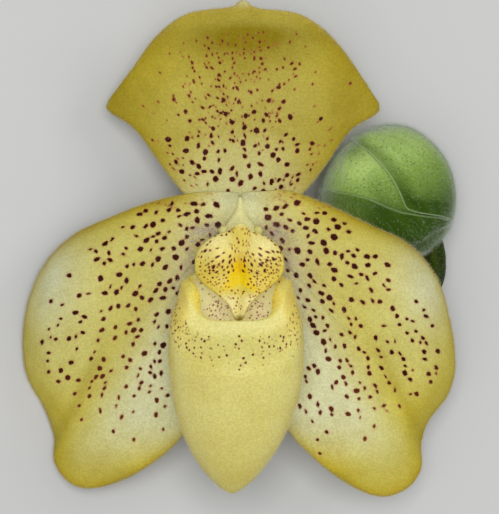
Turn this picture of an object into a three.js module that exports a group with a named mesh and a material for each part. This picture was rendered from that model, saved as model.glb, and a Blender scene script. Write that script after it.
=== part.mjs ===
// A cut paphiopedilum orchid, one open bloom and one bud on a short scape, lying on its back.
// Millimetres, +Z up. The table is z = 0 and the origin is under the middle of the bounding box.
import * as THREE from "three";

const { clamp, degToRad, lerp, smoothstep } = THREE.MathUtils;

// Where the bloom lies. Its own frame has x to its right, y up the dorsal sepal and z out of its face.
const bloomTilt = degToRad(-8.5); // the bloom leans over to its left petal
const bloomHeight = 13.97; // from the table to where sepals and petals spring
const middle = new THREE.Vector2(1.29, -0.83); // middle of the bounding box, seen from above

const seam = 0.3; // clearance between pieces that touch
const bladeThickness = 0.9; // in the middle of a sepal or petal
const marginThickness = 0.7; // at its edge
const pressDepth = 0.12; // how much of a round underside is pressed flat on the table

// Outlines run anticlockwise, as seen from the front of the bloom.
const dorsalSepal = {
  outline: [
    [0.4, 32.7], [-1.2, 31.8], [-7.0, 31.0], [-11.4, 28.2], [-15.0, 23.8], [-18.0, 19.8], [-18.4, 18.6],
    [-14.3, 15.8], [-10.3, 10.3], [-6.6, 6.0], [-2.4, 3.2], [2.4, 3.2], [7.4, 6.0], [11.2, 10.3],
    [15.0, 15.6], [19.2, 18.4], [18.9, 19.8], [13.6, 27.0], [8.4, 30.8], [2.2, 31.7],
  ],
  centre: [0.3, 18],
  columns: 40,
  rings: 6,
};
const synsepal = {
  outline: [
    [2.0, -2.4], [-2.0, -2.4], [-7.2, -7.0], [-9.2, -13.5], [-7.4, -20.5], [-3.6, -26.5], [0, -29.3],
    [3.6, -26.5], [7.4, -20.5], [9.2, -13.5], [7.2, -7.0],
  ],
  centre: [0, -15],
  columns: 26,
  rings: 4,
};
const leftPetal = {
  side: -1,
  outline: [
    [-0.5, 6.9], [-6.8, 7.0], [-12.2, 5.8], [-17.7, 3.7], [-22.6, 1.4], [-26.5, -2.3], [-28.9, -7.3],
    [-29.9, -13.1], [-29.2, -18.6], [-26.8, -22.9], [-25.6, -26.7], [-25.5, -30.1], [-23.1, -32.9],
    [-19.2, -33.2], [-13.7, -30.8], [-8.1, -26.2], [-5.4, -19.5], [-3.8, -11.0], [-2.9, -3.0],
    [-2.1, 2.2], [-0.6, 4.0],
  ],
  centre: [-15.5, -12.5],
  columns: 44,
  rings: 7,
};
const rightPetal = {
  side: 1,
  outline: [
    [6.8, 7.3], [0.5, 6.9], [0.6, 4.0], [2.1, 2.2], [2.9, -3.0], [3.7, -11.0], [5.0, -19.7],
    [6.8, -25.5], [13.0, -31.4], [18.6, -34.4], [22.5, -33.7], [24.8, -31.1], [24.9, -27.4],
    [26.0, -24.2], [28.7, -20.6], [29.6, -16.5], [28.9, -11.0], [27.0, -4.8], [23.1, 0.0],
    [17.6, 2.7], [12.2, 5.3],
  ],
  centre: [15.5, -13],
  columns: 44,
  rings: 7,
};
const petalForm = { shoulder: 2.4, droop: 0.0085, upperRecurve: 2.2, outerRecurve: 3.4, crease: 1.7, wave: 0.9 };

const pouch = {
  tip: -33.1, // lowest point of the toe
  widest: -14, // height at which it is widest
  halfWidth: 8.95,
  aside: -0.45, // its middle line stands this far to the left, and its toe leans further
  toeLean: 0.04, // mm to the left for each mm below `leanFrom`
  leanFrom: -18,
  halfDepth: 7.2,
  toeDepth: 5.4, // z of the toe
  bodyDepth: 9.4, // z of the middle of the upper body
  frontRim: -10.3,
  earRim: -5.2,
  backRim: -1.9,
  wall: 0.9,
};
const column = { foot: 1.85, footStart: -1.2, ridgeStart: 1.1, ridgeTop: 6.1, end: 7.4 };
const staminode = {
  outline: [
    [0.2, 2.9], [-0.7, 2.5], [-1.4, 1.8], [-2.9, 1.3], [-4.5, 0.4], [-5.7, -1.0], [-6.1, -2.6], [-5.7, -4.1],
    [-4.7, -5.3], [-3.0, -6.6], [-1.3, -8.1], [-0.6, -9.8], [0.5, -9.8], [1.2, -8.1], [2.9, -6.5], [4.6, -5.2],
    [5.7, -4.0], [6.0, -2.6], [5.6, -1.0], [4.5, 0.4], [2.9, 1.3], [1.6, 1.8], [1.0, 2.5],
  ],
  centre: [0, -3],
  columns: 30,
  rings: 5,
};
const antherAt = [[-3.1, 2.4, 4.5], [3.3, 2.4, 4.5]];
const stigmaAt = [0, -4.15, 4.6];

// The stem side is set out on the table. Each route is the middle line of its piece.
const scapeRadius = 2.25;
const scapeRoute = [[1.2, -30.6, 2.3], [1.8, -26.6, 2.3], [5.2, -23.6, 2.3], [9.5, -20.6, 2.1], [13.2, -18.0, 2.0]];
const ovaryRoute = [[1.7, -21.9, 2.7], [1.5, -14.5, 3.7], [1.0, -6.5, 5.2], [0.7, -0.9, 8.2], [0.5, 0.3, 10.2], [0.25, 0.3, 11.9]];
const budOvaryRoute = [
  [14.5, -17.0, 2.4], [20.0, -13.4, 2.6], [25.6, -9.0, 3.1], [28.7, -4.6, 4.6], [29.0, -1.5, 6.3], [28.25, 0.0, 7.1],
];
const bud = {
  centre: new THREE.Vector3(21.57, 8, 7.15),
  axis: new THREE.Vector3(-0.66, 0.75, 0).normalize(), // from its base to its tip
  halfLength: 9.5,
  halfWidth: 9.2,
  halfHeight: 7.8,
  skin: 0.8, // thickness of the sepals that wrap it
};

const finishes = {
  petal: { color: 0xcdbf6a, roughness: 0.62 },
  lip: { color: 0xd9cf8a, roughness: 0.5 },
  staminode: { color: 0xe6cf4a, roughness: 0.45 },
  column: { color: 0xe2d9a4, roughness: 0.5 },
  green: { color: 0x86a15a, roughness: 0.7 },
  stem: { color: 0x5c7436, roughness: 0.7 },
};

const bell = (distance, width) => Math.exp(-((distance / width) ** 2));
const point = ([x, y, z = 0]) => new THREE.Vector3(x, y, z);

// A closed skin of rows round a piece. The first and the last row are one point each.
// Quads after the row `fold` are cut along the other diagonal, so both faces of a blade match.
function closedSkin(pointAt, columns, lastRow, fold = lastRow) {
  const positions = [];
  for (let row = 0; row <= lastRow; row += 1) {
    const count = row === 0 || row === lastRow ? 1 : columns;
    for (let i = 0; i < count; i += 1) positions.push(...pointAt(i, row));
  }
  const at = (i, row) => {
    if (row === 0) return 0;
    return row === lastRow ? 1 + (lastRow - 1) * columns : 1 + (row - 1) * columns + (i % columns);
  };
  const faces = [];
  for (let row = 0; row < lastRow; row += 1) {
    for (let i = 0; i < columns; i += 1) {
      const [a, b, c, d] = [at(i, row), at(i + 1, row), at(i + 1, row + 1), at(i, row + 1)];
      if (row === 0) faces.push(a, c, d);
      else if (row === lastRow - 1) faces.push(a, b, d);
      else if (row < fold) faces.push(a, b, d, b, c, d);
      else faces.push(a, b, c, a, c, d);
    }
  }
  const geometry = new THREE.BufferGeometry();
  geometry.setAttribute("position", new THREE.Float32BufferAttribute(positions, 3));
  geometry.setIndex(faces);
  geometry.computeVertexNormals();
  return geometry;
}

// A sepal, petal, bract or shield. Rings shrink from the outline to the centre, and
// `form` lays the flat point (x, y) on the bent middle face, with `edge` 0 at the centre and 1 at the margin.
function bladeGeometry({ outline, centre, columns, rings }, form, thick = bladeThickness, thin = marginThickness) {
  const curve = new THREE.CatmullRomCurve3(outline.map(point), true, "catmullrom", 0.5);
  const margin = curve.getSpacedPoints(columns);
  const hub = point(centre);
  const onFace = (i, edge) => {
    const flat = hub.clone().lerp(margin[(i + columns) % columns], edge);
    return form(flat.x, flat.y, edge);
  };
  const nudge = 0.02;
  const quarter = Math.round(columns / 4);
  const normalAt = (i, edge) => {
    if (edge < nudge) {
      const across = onFace(0, nudge).sub(onFace(2 * quarter, nudge));
      return across.cross(onFace(quarter, nudge).sub(onFace(3 * quarter, nudge))).normalize();
    }
    const outward = onFace(i, edge).sub(onFace(i, edge - nudge));
    return outward.cross(onFace(i + 1, edge).sub(onFace(i - 1, edge))).normalize();
  };
  const lastRow = 2 * rings + 1;
  return closedSkin(
    (i, row) => {
      const ring = row <= rings ? row : lastRow - row;
      const edge = 1 - (1 - ring / rings) ** 1.35;
      const half = lerp(thick, thin, edge ** 2) / 2;
      return onFace(i, edge).addScaledVector(normalAt(i, edge), row <= rings ? -half : half);
    },
    columns,
    lastRow,
    rings,
  );
}

// A stem or ovary along a route. `radiusAt` takes how far along it is, 0 to 1, and the angle round it.
function stemGeometry(route, radiusAt, columns, steps) {
  const curve = new THREE.CatmullRomCurve3(route.map(point));
  const { normals, binormals } = curve.computeFrenetFrames(steps);
  return closedSkin(
    (i, row) => {
      const step = clamp(row - 1, 0, steps);
      const centre = curve.getPointAt(step / steps);
      if (row === 0 || row === steps + 2) return centre;
      const angle = (2 * Math.PI * i) / columns;
      const radius = radiusAt(step / steps, angle);
      centre.addScaledVector(normals[step], radius * Math.cos(angle));
      return centre.addScaledVector(binormals[step], radius * Math.sin(angle));
    },
    columns,
    steps + 2,
  );
}

function ellipsoidGeometry(centre, [a, b, c], columns, rows) {
  return closedSkin(
    (i, row) => {
      const turn = (2 * Math.PI * i) / columns;
      const slope = Math.PI * (1 - row / rows);
      const [x, y] = [a * Math.sin(slope) * Math.cos(turn), b * Math.sin(slope) * Math.sin(turn)];
      return point(centre).add(new THREE.Vector3(x, y, c * Math.cos(slope)));
    },
    columns,
    rows,
  );
}

// The dorsal sepal leans back, its sides curl back and its top curls forward as a hood.
function dorsalForm(x, y) {
  const lean = 1.6 * smoothstep(y, 2, 11);
  const sides = 0.008 * x * x * smoothstep(y, 3, 14);
  const hood = 7.5 * smoothstep(y, 19, 34) ** 1.6;
  return new THREE.Vector3(x, y, -1.9 - lean - sides + hood);
}

// The two joined lower sepals hang behind the pouch, hollow towards it.
function synsepalForm(x, y) {
  return new THREE.Vector3(x, y, -1.6 + 0.11 * (y + 2.4) - 0.012 * x * x);
}

// A petal: a high shoulder, a drooping blade with its margin curled back, and
// below the middle a crease that runs out to a waved edge.
function petalForm3d({ side }) {
  return (x, y, edge) => {
    const out = side * x;
    const reach = Math.max(0, Math.hypot(out - 3, 0.9 * (y + 4)) - 7);
    const shoulder = petalForm.shoulder * bell(out - 20, 9) * bell(y + 6, 9);
    const recurve = petalForm.upperRecurve + petalForm.outerRecurve * smoothstep(out, 14, 28);
    const curl = recurve * smoothstep(out, 4, 13) * (1 - 0.55 * smoothstep(-y, 20, 31)) * edge ** 6;
    const alongCrease = smoothstep(out, 13, 21) * smoothstep(-y, 8, 17);
    const offCrease = 0.9 * (out - 20) + 0.45 * (y + 19);
    const crease = petalForm.crease * bell(offCrease, 2.6) * alongCrease;
    const wave = petalForm.wave * edge ** 4 * Math.sin(0.42 * (y - out) + 1) * smoothstep(-y, 14, 22);
    const z = 0.3 - petalForm.droop * reach ** 2 + shoulder - curl - crease + wave;
    return new THREE.Vector3(x, y, z);
  };
}

// How high the rim of the pouch stands, all round it: low in front, an ear on each side.
function pouchRim(angle) {
  const { frontRim, earRim, backRim } = pouch;
  const toEar = smoothstep(angle, degToRad(36), degToRad(96)) ** 1.3;
  const toBack = smoothstep(angle, degToRad(96), degToRad(180));
  return frontRim + (earRim - frontRim) * toEar + (backRim - earRim) * toBack;
}

// A point of the pouch at `turn` from its front and `rise` from the toe to the rim.
// `inset` is how far inside the outer face it lies. The rim is curled in.
function pouchPoint(turn, rise, inset) {
  const angle = Math.abs(turn > Math.PI ? turn - 2 * Math.PI : turn);
  const tip = pouch.tip + inset;
  const y = lerp(tip, pouchRim(angle), rise ** 1.6);
  const swell = (1 - (1 - clamp((y - tip) / (pouch.widest - tip), 0, 1)) ** 2) ** 0.68;
  const shut = 1 - 0.0013 * Math.max(0, y - pouch.widest) ** 2;
  const curlSide = (0.04 + 0.14 * bell(angle - degToRad(70), degToRad(25))) * smoothstep(rise, 0.91, 1);
  const curlFront = 0.45 * (1 - smoothstep(angle, degToRad(40), degToRad(95))) * smoothstep(rise, 0.8, 1);
  const middleX = pouch.aside - pouch.toeLean * Math.max(0, pouch.leanFrom - y);
  const depth = lerp(pouch.toeDepth, pouch.bodyDepth, smoothstep(y, pouch.tip, pouch.widest));
  const x = middleX + (pouch.halfWidth - inset) * swell * shut * Math.sin(turn) * (1 - curlSide);
  const z = depth + (pouch.halfDepth - inset) * swell * Math.cos(turn) * (1 - curlFront);
  return new THREE.Vector3(x, y, z);
}

function pouchGeometry() {
  const [columns, outer, inner] = [36, 14, 10];
  const lastRow = outer + inner + 1;
  return closedSkin(
    (i, row) => {
      const turn = (2 * Math.PI * i) / columns;
      if (row <= outer) return pouchPoint(turn, row / outer, 0);
      return pouchPoint(turn, (lastRow - row) / inner, pouch.wall);
    },
    columns,
    lastRow,
    outer,
  );
}

// The column: a round foot on the ovary, then a drop-shaped body with a ridge up between the petals.
function columnGeometry() {
  const sections = [
    // z, middle y, half width, reach down, reach up
    [column.footStart, 0.3, column.foot, column.foot, column.foot],
    [column.ridgeStart - 0.2, 0.3, column.foot, column.foot, column.foot],
    [column.ridgeStart, 0.3, 2.1, 1.9, column.ridgeTop - 0.3],
    [1.8, 0.4, 2.6, 1.9, column.ridgeTop - 1.6],
    [3.2, 0.5, 3.0, 2.0, 3.2],
    [4.6, 0.0, 2.5, 2.2, 2.6],
    [6.0, -0.8, 2.1, 2.0, 2.0],
    [column.end, -1.6, 1.6, 1.4, 1.4],
  ];
  const columns = 20;
  return closedSkin(
    (i, row) => {
      const section = sections[clamp(row - 1, 0, sections.length - 1)];
      const [z, y, halfWidth, down, up] = section;
      if (row === 0 || row === sections.length + 1) return new THREE.Vector3(0, y, z);
      const turn = (2 * Math.PI * i) / columns;
      const rise = Math.sin(turn);
      const narrow = rise > 0 ? 1 - 0.55 * rise * clamp((up - down) / 3, 0, 1) : 1;
      return new THREE.Vector3(halfWidth * Math.cos(turn) * narrow, y + (rise > 0 ? up : down) * rise, z);
    },
    columns,
    sections.length + 1,
  );
}

// The staminode: a shield with two swollen lobes, a ridge down its neck and its tip bent forward.
function staminodeForm(x, y) {
  const lobes = 1.3 * bell(Math.abs(x) - 2.9, 2.0) * bell(y + 1.6, 2.6);
  const neck = 0.7 * bell(x, 0.9) * smoothstep(y, -2, 2);
  const groove = 0.5 * bell(x, 0.9) * smoothstep(-y, 1.5, 4);
  const tip = 1.5 * smoothstep(-y, 3, 10);
  const drop = 1.5 * smoothstep(y, -1, 3) + 0.03 * x * x;
  return new THREE.Vector3(x, y, 8.4 + lobes + neck - groove + tip - drop);
}

// The bud is an egg. `along` runs from -90 at its base to 90 at its tip, `round` is 0 at the top
// and grows to the side away from the bloom. It is cut flat where it lies on the table.
function budPoint(round, along, inset) {
  const [turn, rise] = [degToRad(round), degToRad(along)];
  const across = new THREE.Vector3(0, 0, 1).cross(bud.axis).negate();
  const girth = Math.cos(rise);
  const at = bud.centre.clone().addScaledVector(bud.axis, (bud.halfLength - inset) * Math.sin(rise));
  at.addScaledVector(across, (bud.halfWidth - inset) * girth * Math.sin(turn));
  at.z += (bud.halfHeight - inset) * girth * Math.cos(turn);
  at.z = Math.max(at.z, inset);
  return at;
}

// Each sepal of the bud wraps it from base to tip. Its outline is given in degrees round and along the egg.
const budSepals = {
  bud_dorsal_sepal: {
    outline: [
      [74, 82], [20, 78], [4, 50], [5, 10], [2, -14], [-4, -29], [8, -46], [34, -74], [76, -80],
      [120, -76], [142, -50], [148, 0], [142, 50], [120, 76],
    ],
    centre: [74, 0],
    columns: 28,
    rings: 7,
  },
  bud_synsepal: {
    outline: [
      [-104, 82], [-176, 76], [-197, 50], [-203, 0], [-199, -50], [-176, -76], [-104, -80], [-30, -76],
      [-3, -52], [-12, -32], [-20, -14], [-25, 8], [-34, 30], [-34, 44], [-26, 62], [-44, 78],
    ],
    centre: [-104, 0],
    columns: 28,
    rings: 7,
  },
};

// A bract clasps the stem side of its ovary. Its flat outline is in millimetres, along the route and round it.
const bract = {
  outline: [[0.4, -2.4], [4.5, -3.6], [8.5, -2.4], [11.5, 0], [8.5, 2.4], [4.5, 3.6], [0.4, 2.4]],
  centre: [5, 0],
  columns: 18,
  rings: 3,
};

function bractForm(route, radius, lean) {
  const curve = new THREE.CatmullRomCurve3(route.map(point));
  const length = curve.getLength();
  return (along, round) => {
    const share = clamp(along / length, 0, 1);
    const heading = curve.getTangentAt(share);
    const side = new THREE.Vector3(0, 0, 1).cross(heading).normalize();
    const up = heading.clone().cross(side);
    const turn = lean + round / radius;
    const off = radius + 0.05 * along;
    return curve.getPointAt(share).addScaledVector(side, off * Math.sin(turn)).addScaledVector(up, off * Math.cos(turn));
  };
}

// Presses flat what lies on the table: every corner lower than `pressDepth` comes to z = 0.
function pressedFlat(geometry) {
  const corners = geometry.getAttribute("position");
  for (let i = 0; i < corners.count; i += 1) {
    if (corners.getZ(i) < pressDepth) corners.setZ(i, 0);
  }
  return geometry;
}

function pieceOf(name, geometry, finish) {
  const material = new THREE.MeshStandardMaterial({ ...finishes[finish], metalness: 0, name: finish });
  const mesh = new THREE.Mesh(geometry, material);
  mesh.name = name;
  return mesh;
}

function makeBloom() {
  const bloom = new THREE.Group();
  bloom.add(pieceOf("dorsal_sepal", bladeGeometry(dorsalSepal, dorsalForm), "petal"));
  bloom.add(pieceOf("synsepal", bladeGeometry(synsepal, synsepalForm), "petal"));
  bloom.add(pieceOf("petal_left", bladeGeometry(leftPetal, petalForm3d(leftPetal)), "petal"));
  bloom.add(pieceOf("petal_right", bladeGeometry(rightPetal, petalForm3d(rightPetal)), "petal"));
  bloom.add(pieceOf("pouch", pouchGeometry(), "lip"));
  bloom.add(pieceOf("column", columnGeometry(), "column"));
  bloom.add(pieceOf("staminode", bladeGeometry(staminode, staminodeForm, 1.2, 0.9), "staminode"));
  bloom.add(pieceOf("stigma", ellipsoidGeometry(stigmaAt, [2.3, 1.6, 1.1], 12, 7), "column"));
  antherAt.forEach((at, i) => {
    bloom.add(pieceOf(["anther_left", "anther_right"][i], ellipsoidGeometry(at, [0.9, 1.1, 1.0], 10, 6), "column"));
  });
  bloom.rotation.y = bloomTilt;
  bloom.position.z = bloomHeight;
  return bloom;
}

// An ovary swells a little in the middle and has six low ribs.
const ovaryRadius = (thick) => (share, angle) =>
  thick * (0.78 + 0.22 * Math.sin(Math.PI * share)) * (1 + 0.05 * Math.cos(6 * angle));

function makeStem() {
  const stem = new THREE.Group();
  const scape = stemGeometry(scapeRoute, (share) => scapeRadius * (1 - 0.18 * share), 12, 14);
  stem.add(pieceOf("scape", pressedFlat(scape), "stem"));
  stem.add(pieceOf("ovary", stemGeometry(ovaryRoute, ovaryRadius(2.4), 18, 16), "green"));
  stem.add(pieceOf("bud_ovary", stemGeometry(budOvaryRoute, ovaryRadius(2.4), 18, 16), "green"));
  const clasp = 2.2 + seam + marginThickness / 2;
  stem.add(pieceOf("floral_bract", bladeGeometry(bract, bractForm(ovaryRoute, clasp, 0), 0.7, 0.6), "green"));
  stem.add(pieceOf("bud_bract", bladeGeometry(bract, bractForm(budOvaryRoute, clasp, -0.9), 0.7, 0.6), "green"));
  return stem;
}

function makeBud() {
  const group = new THREE.Group();
  for (const [name, sepal] of Object.entries(budSepals)) {
    const form = (round, along) => budPoint(round, along, bud.skin / 2);
    group.add(pieceOf(name, pressedFlat(bladeGeometry(sepal, form, bud.skin, bud.skin)), "green"));
  }
  const [columns, rows] = [24, 12];
  const heart = closedSkin(
    (i, row) => budPoint((360 * i) / columns, -90 + (180 * row) / rows, bud.skin + 1.8 * seam),
    columns,
    rows,
  );
  group.add(pieceOf("bud_petals", heart, "green"));
  return group;
}

const orchid = new THREE.Group();
orchid.add(makeBloom(), makeStem(), makeBud());
orchid.position.set(-middle.x, -middle.y, 0);

export default orchid;
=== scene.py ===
import bpy
import numpy as np
from mathutils import Matrix, Vector


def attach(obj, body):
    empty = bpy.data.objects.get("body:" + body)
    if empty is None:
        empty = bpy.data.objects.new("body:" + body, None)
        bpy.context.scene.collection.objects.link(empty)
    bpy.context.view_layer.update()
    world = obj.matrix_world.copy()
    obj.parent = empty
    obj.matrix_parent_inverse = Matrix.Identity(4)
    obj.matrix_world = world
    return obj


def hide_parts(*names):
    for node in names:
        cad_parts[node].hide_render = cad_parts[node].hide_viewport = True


# A cut paphiopedilum orchid on a table. Shapes are worked out in millimetres in the bloom's own frame,
# x to its right, y up the dorsal sepal and z out of its face, then laid on the table in metres.

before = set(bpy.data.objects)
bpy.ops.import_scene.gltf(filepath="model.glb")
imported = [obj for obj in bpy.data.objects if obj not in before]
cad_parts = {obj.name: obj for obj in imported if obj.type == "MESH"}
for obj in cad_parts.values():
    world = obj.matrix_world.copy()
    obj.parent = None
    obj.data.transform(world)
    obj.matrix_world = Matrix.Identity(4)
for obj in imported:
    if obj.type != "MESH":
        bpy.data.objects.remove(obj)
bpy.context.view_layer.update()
print("frame loaded:", len(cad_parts), "nodes")

lie = {"tilt": -8.5, "height": 13.97, "middle": (1.29, -0.83)}  # degrees, mm and mm, as the solids lie
tableUp = [0.0, 0.0, 1.0]


def fromTable(points):  # from millimetres on the table to the part's frame: shift to the middle, then metres
    return (np.asarray(points, float) - np.array([*lie["middle"], 0.0])) / 1000


def fromBloom(points):  # turn about Y by the tilt, lift by the height, then as from the table
    turn = np.radians(lie["tilt"])
    x, y, z = np.moveaxis(np.asarray(points, float), -1, 0)
    lifted = -x * np.sin(turn) + z * np.cos(turn) + lie["height"]
    return fromTable(pointsOf(x * np.cos(turn) + z * np.sin(turn), y, lifted))


# Small formulas that the shapes share

def smooth(x, low, high):  # 0 below low, 1 above high, 3t^2 - 2t^3 between
    t = np.clip((x - low) / (high - low), 0, 1)
    return t * t * (3 - 2 * t)


def bell(distance, width):  # e to the minus square of distance over width
    return np.exp(-((distance / width) ** 2))


def clipped(values):
    return np.clip(values, 0, 1)


def ripple(x, y, seed, size, waves=8):  # a sum of sine waves of random heading and phase, about -1 to 1
    rng = np.random.default_rng(seed)
    total = np.zeros(np.broadcast(x, y).shape)
    for heading, phase, pace in rng.uniform([0, 0, 0.6], [6.28, 6.28, 1.7], (waves, 3)):
        total += np.sin((x * np.cos(heading) + y * np.sin(heading)) * pace / size + phase)
    return total / np.sqrt(waves)


def throughPoints(p0, p1, p2, p3):  # Catmull-Rom: 60 steps of a cubic from each p1 to the next
    t = np.linspace(0, 1, 60, endpoint=False)[None, :, None]
    p0, p1, p2, p3 = (p[:, None, :] for p in (p0, p1, p2, p3))
    curve = 0.5 * (2 * p1 + (p2 - p0) * t + (2 * p0 - 5 * p1 + 4 * p2 - p3) * t**2
                   + (3 * p1 - p0 - 3 * p2 + p3) * t**3)
    return curve.reshape(-1, p1.shape[-1])


def lookUp(at, share, values):  # straight lines between the values, column by column, as share grows
    return np.stack([np.interp(at, share, values[:, k]) for k in range(values.shape[1])], -1)


def evenSteps(curve, steps):  # points at even steps along the curve, steps from 0 to 1
    length = np.concatenate([[0], np.cumsum(np.linalg.norm(np.diff(curve, axis=0), axis=1))])
    return lookUp(steps * length[-1], length, curve)


def outlineCurve(points, count):
    p = np.array(points, float)
    curve = throughPoints(np.roll(p, 1, 0), p, np.roll(p, -1, 0), np.roll(p, -2, 0))
    return evenSteps(np.vstack([curve, curve[:1]]), np.linspace(0, 1, count, endpoint=False))


def routeTable(route, steps=400):  # points and headings at even steps of a route
    share = np.linspace(0, 1, steps)
    p = np.array(route, float)
    p = np.vstack([2 * p[0] - p[1], p, 2 * p[-1] - p[-2]])
    points = evenSteps(np.vstack([throughPoints(p[:-3], p[1:-2], p[2:-1], p[3:]), p[-2]]), share)
    return share, points, unit(np.gradient(points, axis=0))


def unit(vectors):
    return vectors / np.maximum(np.linalg.norm(vectors, axis=-1, keepdims=True), 1e-9)


def pointsOf(x, y, z):
    return np.stack(np.broadcast_arrays(x, y, z), -1)


def ringOf(turn, side, up):  # cos(turn) * side + sin(turn) * up, for each side and up
    return np.cos(turn)[None, :, None] * side[:, None] + np.sin(turn)[None, :, None] * up[:, None]


def signed(turn):  # a turn of 0 to 2 pi as one of -pi to pi
    return np.where(turn > np.pi, turn - 2 * np.pi, turn)


def skinNormals(rows):  # the step round the skin crossed with the step along it, which points outwards
    around = np.roll(rows, -1, 1) - np.roll(rows, 1, 1)
    return unit(np.cross(around, np.gradient(rows, axis=0)))


def sideways(skin):  # 0 where the skin faces sideways, up to 1 where it faces up or down
    return np.abs(skinNormals(skin["rows"])[..., 2])


# Meshes

def makeMesh(name, points, quads, triangles, fields):
    mesh = bpy.data.meshes.new(name)
    mesh.vertices.add(len(points))
    mesh.vertices.foreach_set("co", points.astype(np.float32).ravel())
    corners = np.concatenate([quads.ravel(), triangles.ravel()]).astype(np.int32)
    starts = np.concatenate([4 * np.arange(len(quads)), 4 * len(quads) + 3 * np.arange(len(triangles))])
    mesh.loops.add(len(corners))
    mesh.loops.foreach_set("vertex_index", corners)
    mesh.polygons.add(len(starts))
    mesh.polygons.foreach_set("loop_start", starts.astype(np.int32))
    mesh.polygons.foreach_set("use_smooth", np.ones(len(starts), bool))
    mesh.update(calc_edges=True)
    for field, values in fields.items():
        mesh.attributes.new(field, "FLOAT", "POINT").data.foreach_set("value", values.astype(np.float32))
    piece = bpy.data.objects.new(name, mesh)
    bpy.context.scene.collection.objects.link(piece)
    return piece


def makeSkin(name, skin, place, fields):
    # A closed skin: rows of points round the piece, and a pole that closes each end.
    # Each field has a value for each point of the rows, and a pole takes its neighbours' mean.
    rows, poles = skin["rows"], skin["poles"]
    count, columns = rows.shape[:2]
    points = place(np.vstack([poles[:1], rows.reshape(-1, 3), poles[1:]]))
    ids = 1 + np.arange(count * columns).reshape(count, columns)
    nextIds = np.roll(ids, -1, 1)
    quads = np.stack([ids[:-1], nextIds[:-1], nextIds[1:], ids[1:]], -1).reshape(-1, 4)
    start = np.stack([np.zeros(columns, int), nextIds[0], ids[0]], -1)
    end = np.stack([ids[-1], nextIds[-1], np.full(columns, count * columns + 1)], -1)
    values = {key: np.concatenate([[v[0].mean()], v.ravel(), [v[-1].mean()]]) for key, v in fields.items()}
    return makeMesh(name, points, quads, np.vstack([start, end]), values)


skins = {
    "gather": 1.2, "thinning": 40,  # how far a blade's rows gather at its margin, and how late it thins there
    "capRows": 5, "capBulge": 0.35,  # rows that close a stalk's end, and mm that the end bulges
}


def bladeSkin(blade, form, relief=None):
    # A sepal, petal, bract or shield. A point is centre + (outline - centre) * share, bent by
    # form(x, y, share), then moved along the normal by half the thickness, which rounds off to nothing
    # at the margin.
    margin = outlineCurve(blade["outline"], blade["columns"])
    centre = np.array(blade["centre"], float)

    def face(count, side):
        share = (1 - (1 - np.linspace(0, 1, count + 1)[1:-1]) ** skins["gather"])[:, None]
        flat = centre + (margin - centre) * share[..., None]
        middle = form(flat[..., 0], flat[..., 1], share)
        half = blade["half"] * np.sqrt(1 - share ** skins["thinning"]) * np.ones(len(margin))
        if relief is not None and side > 0:
            half = half + relief(flat[..., 0], flat[..., 1], share)
        points = middle - skinNormals(middle) * (side * half)[..., None]
        return points, flat, np.broadcast_to(share, half.shape), np.full(half.shape, float(side))

    rim = (form(margin[None, :, 0], margin[None, :, 1], np.ones((1, 1))), margin[None],
           np.ones((1, len(margin))), np.zeros((1, len(margin))))
    front = (part[::-1] for part in face(blade["rows"], 1))
    back = face(blade["backRows"], -1)
    rows, flat, share, side = (np.concatenate(parts) for parts in zip(back, rim, front))
    return {"rows": rows, "poles": endPoles(rows), "x": flat[..., 0], "y": flat[..., 1],
            "share": share, "face": side}


def endPoles(rows):
    return np.stack([rows[0].mean(0), rows[-1].mean(0)])


def stemSkin(route, radiusAt, rows, columns):
    # A stalk: centre + radius * (cos(turn) * side + sin(turn) * up), with nearly flat ends that close in
    # few rows. The side is kept level with the route's whole run, so that the stalk never twists.
    cap = np.sin(np.linspace(0, np.pi / 2, skins["capRows"] + 2))[1:-1]
    along = np.concatenate([np.zeros(len(cap)), np.linspace(0, 1, rows), np.ones(len(cap))])
    shrink = np.concatenate([cap, np.ones(rows), cap[::-1]])
    share, points, headings = routeTable(route)
    heading = unit(lookUp(along, share, headings))
    level = np.cross(tableUp, points[-1] - points[0])
    side = unit(level - heading * (heading @ level)[:, None])
    turn = np.linspace(0, 2 * np.pi, columns, endpoint=False)
    radius = radiusAt(along[:, None], turn[None, :]) * shrink[:, None]
    bulge = skins["capBulge"] * (1 - shrink) * np.where(along < 0.5, 1, -1)
    centre = lookUp(along, share, points) + heading * bulge[:, None]
    rows = centre[:, None] + radius[..., None] * ringOf(turn, side, np.cross(heading, side))
    along, turn, ends = (values + 0 * radius for values in (along[:, None], turn, 1 - shrink[:, None]))
    return {"rows": rows, "poles": endPoles(rows), "share": along, "turn": turn, "cut": ends}


def eggSkin(pointAt, rows, columns):  # pointAt(turn, rise) with rise from -90 to 90 degrees
    rise = np.linspace(-90, 90, rows + 2)[1:-1, None]
    turn = np.linspace(0, 360, columns, endpoint=False)[None, :]
    poles = pointAt(np.zeros(2), np.array([-90.0, 90.0]))
    return {"rows": pointAt(turn, rise), "poles": poles, "turn": turn + 0 * rise, "rise": rise + 0 * turn}


hair = {
    "spread": 0.6, "rise": 0.15,  # the side step of its heading, and the least that it rises off the skin
    "root": 0.03,  # mm that it is set into the skin
    "clear": 0.0007, "lowest": 0.00002,  # metres off the table: the lowest root and the lowest point
}


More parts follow.
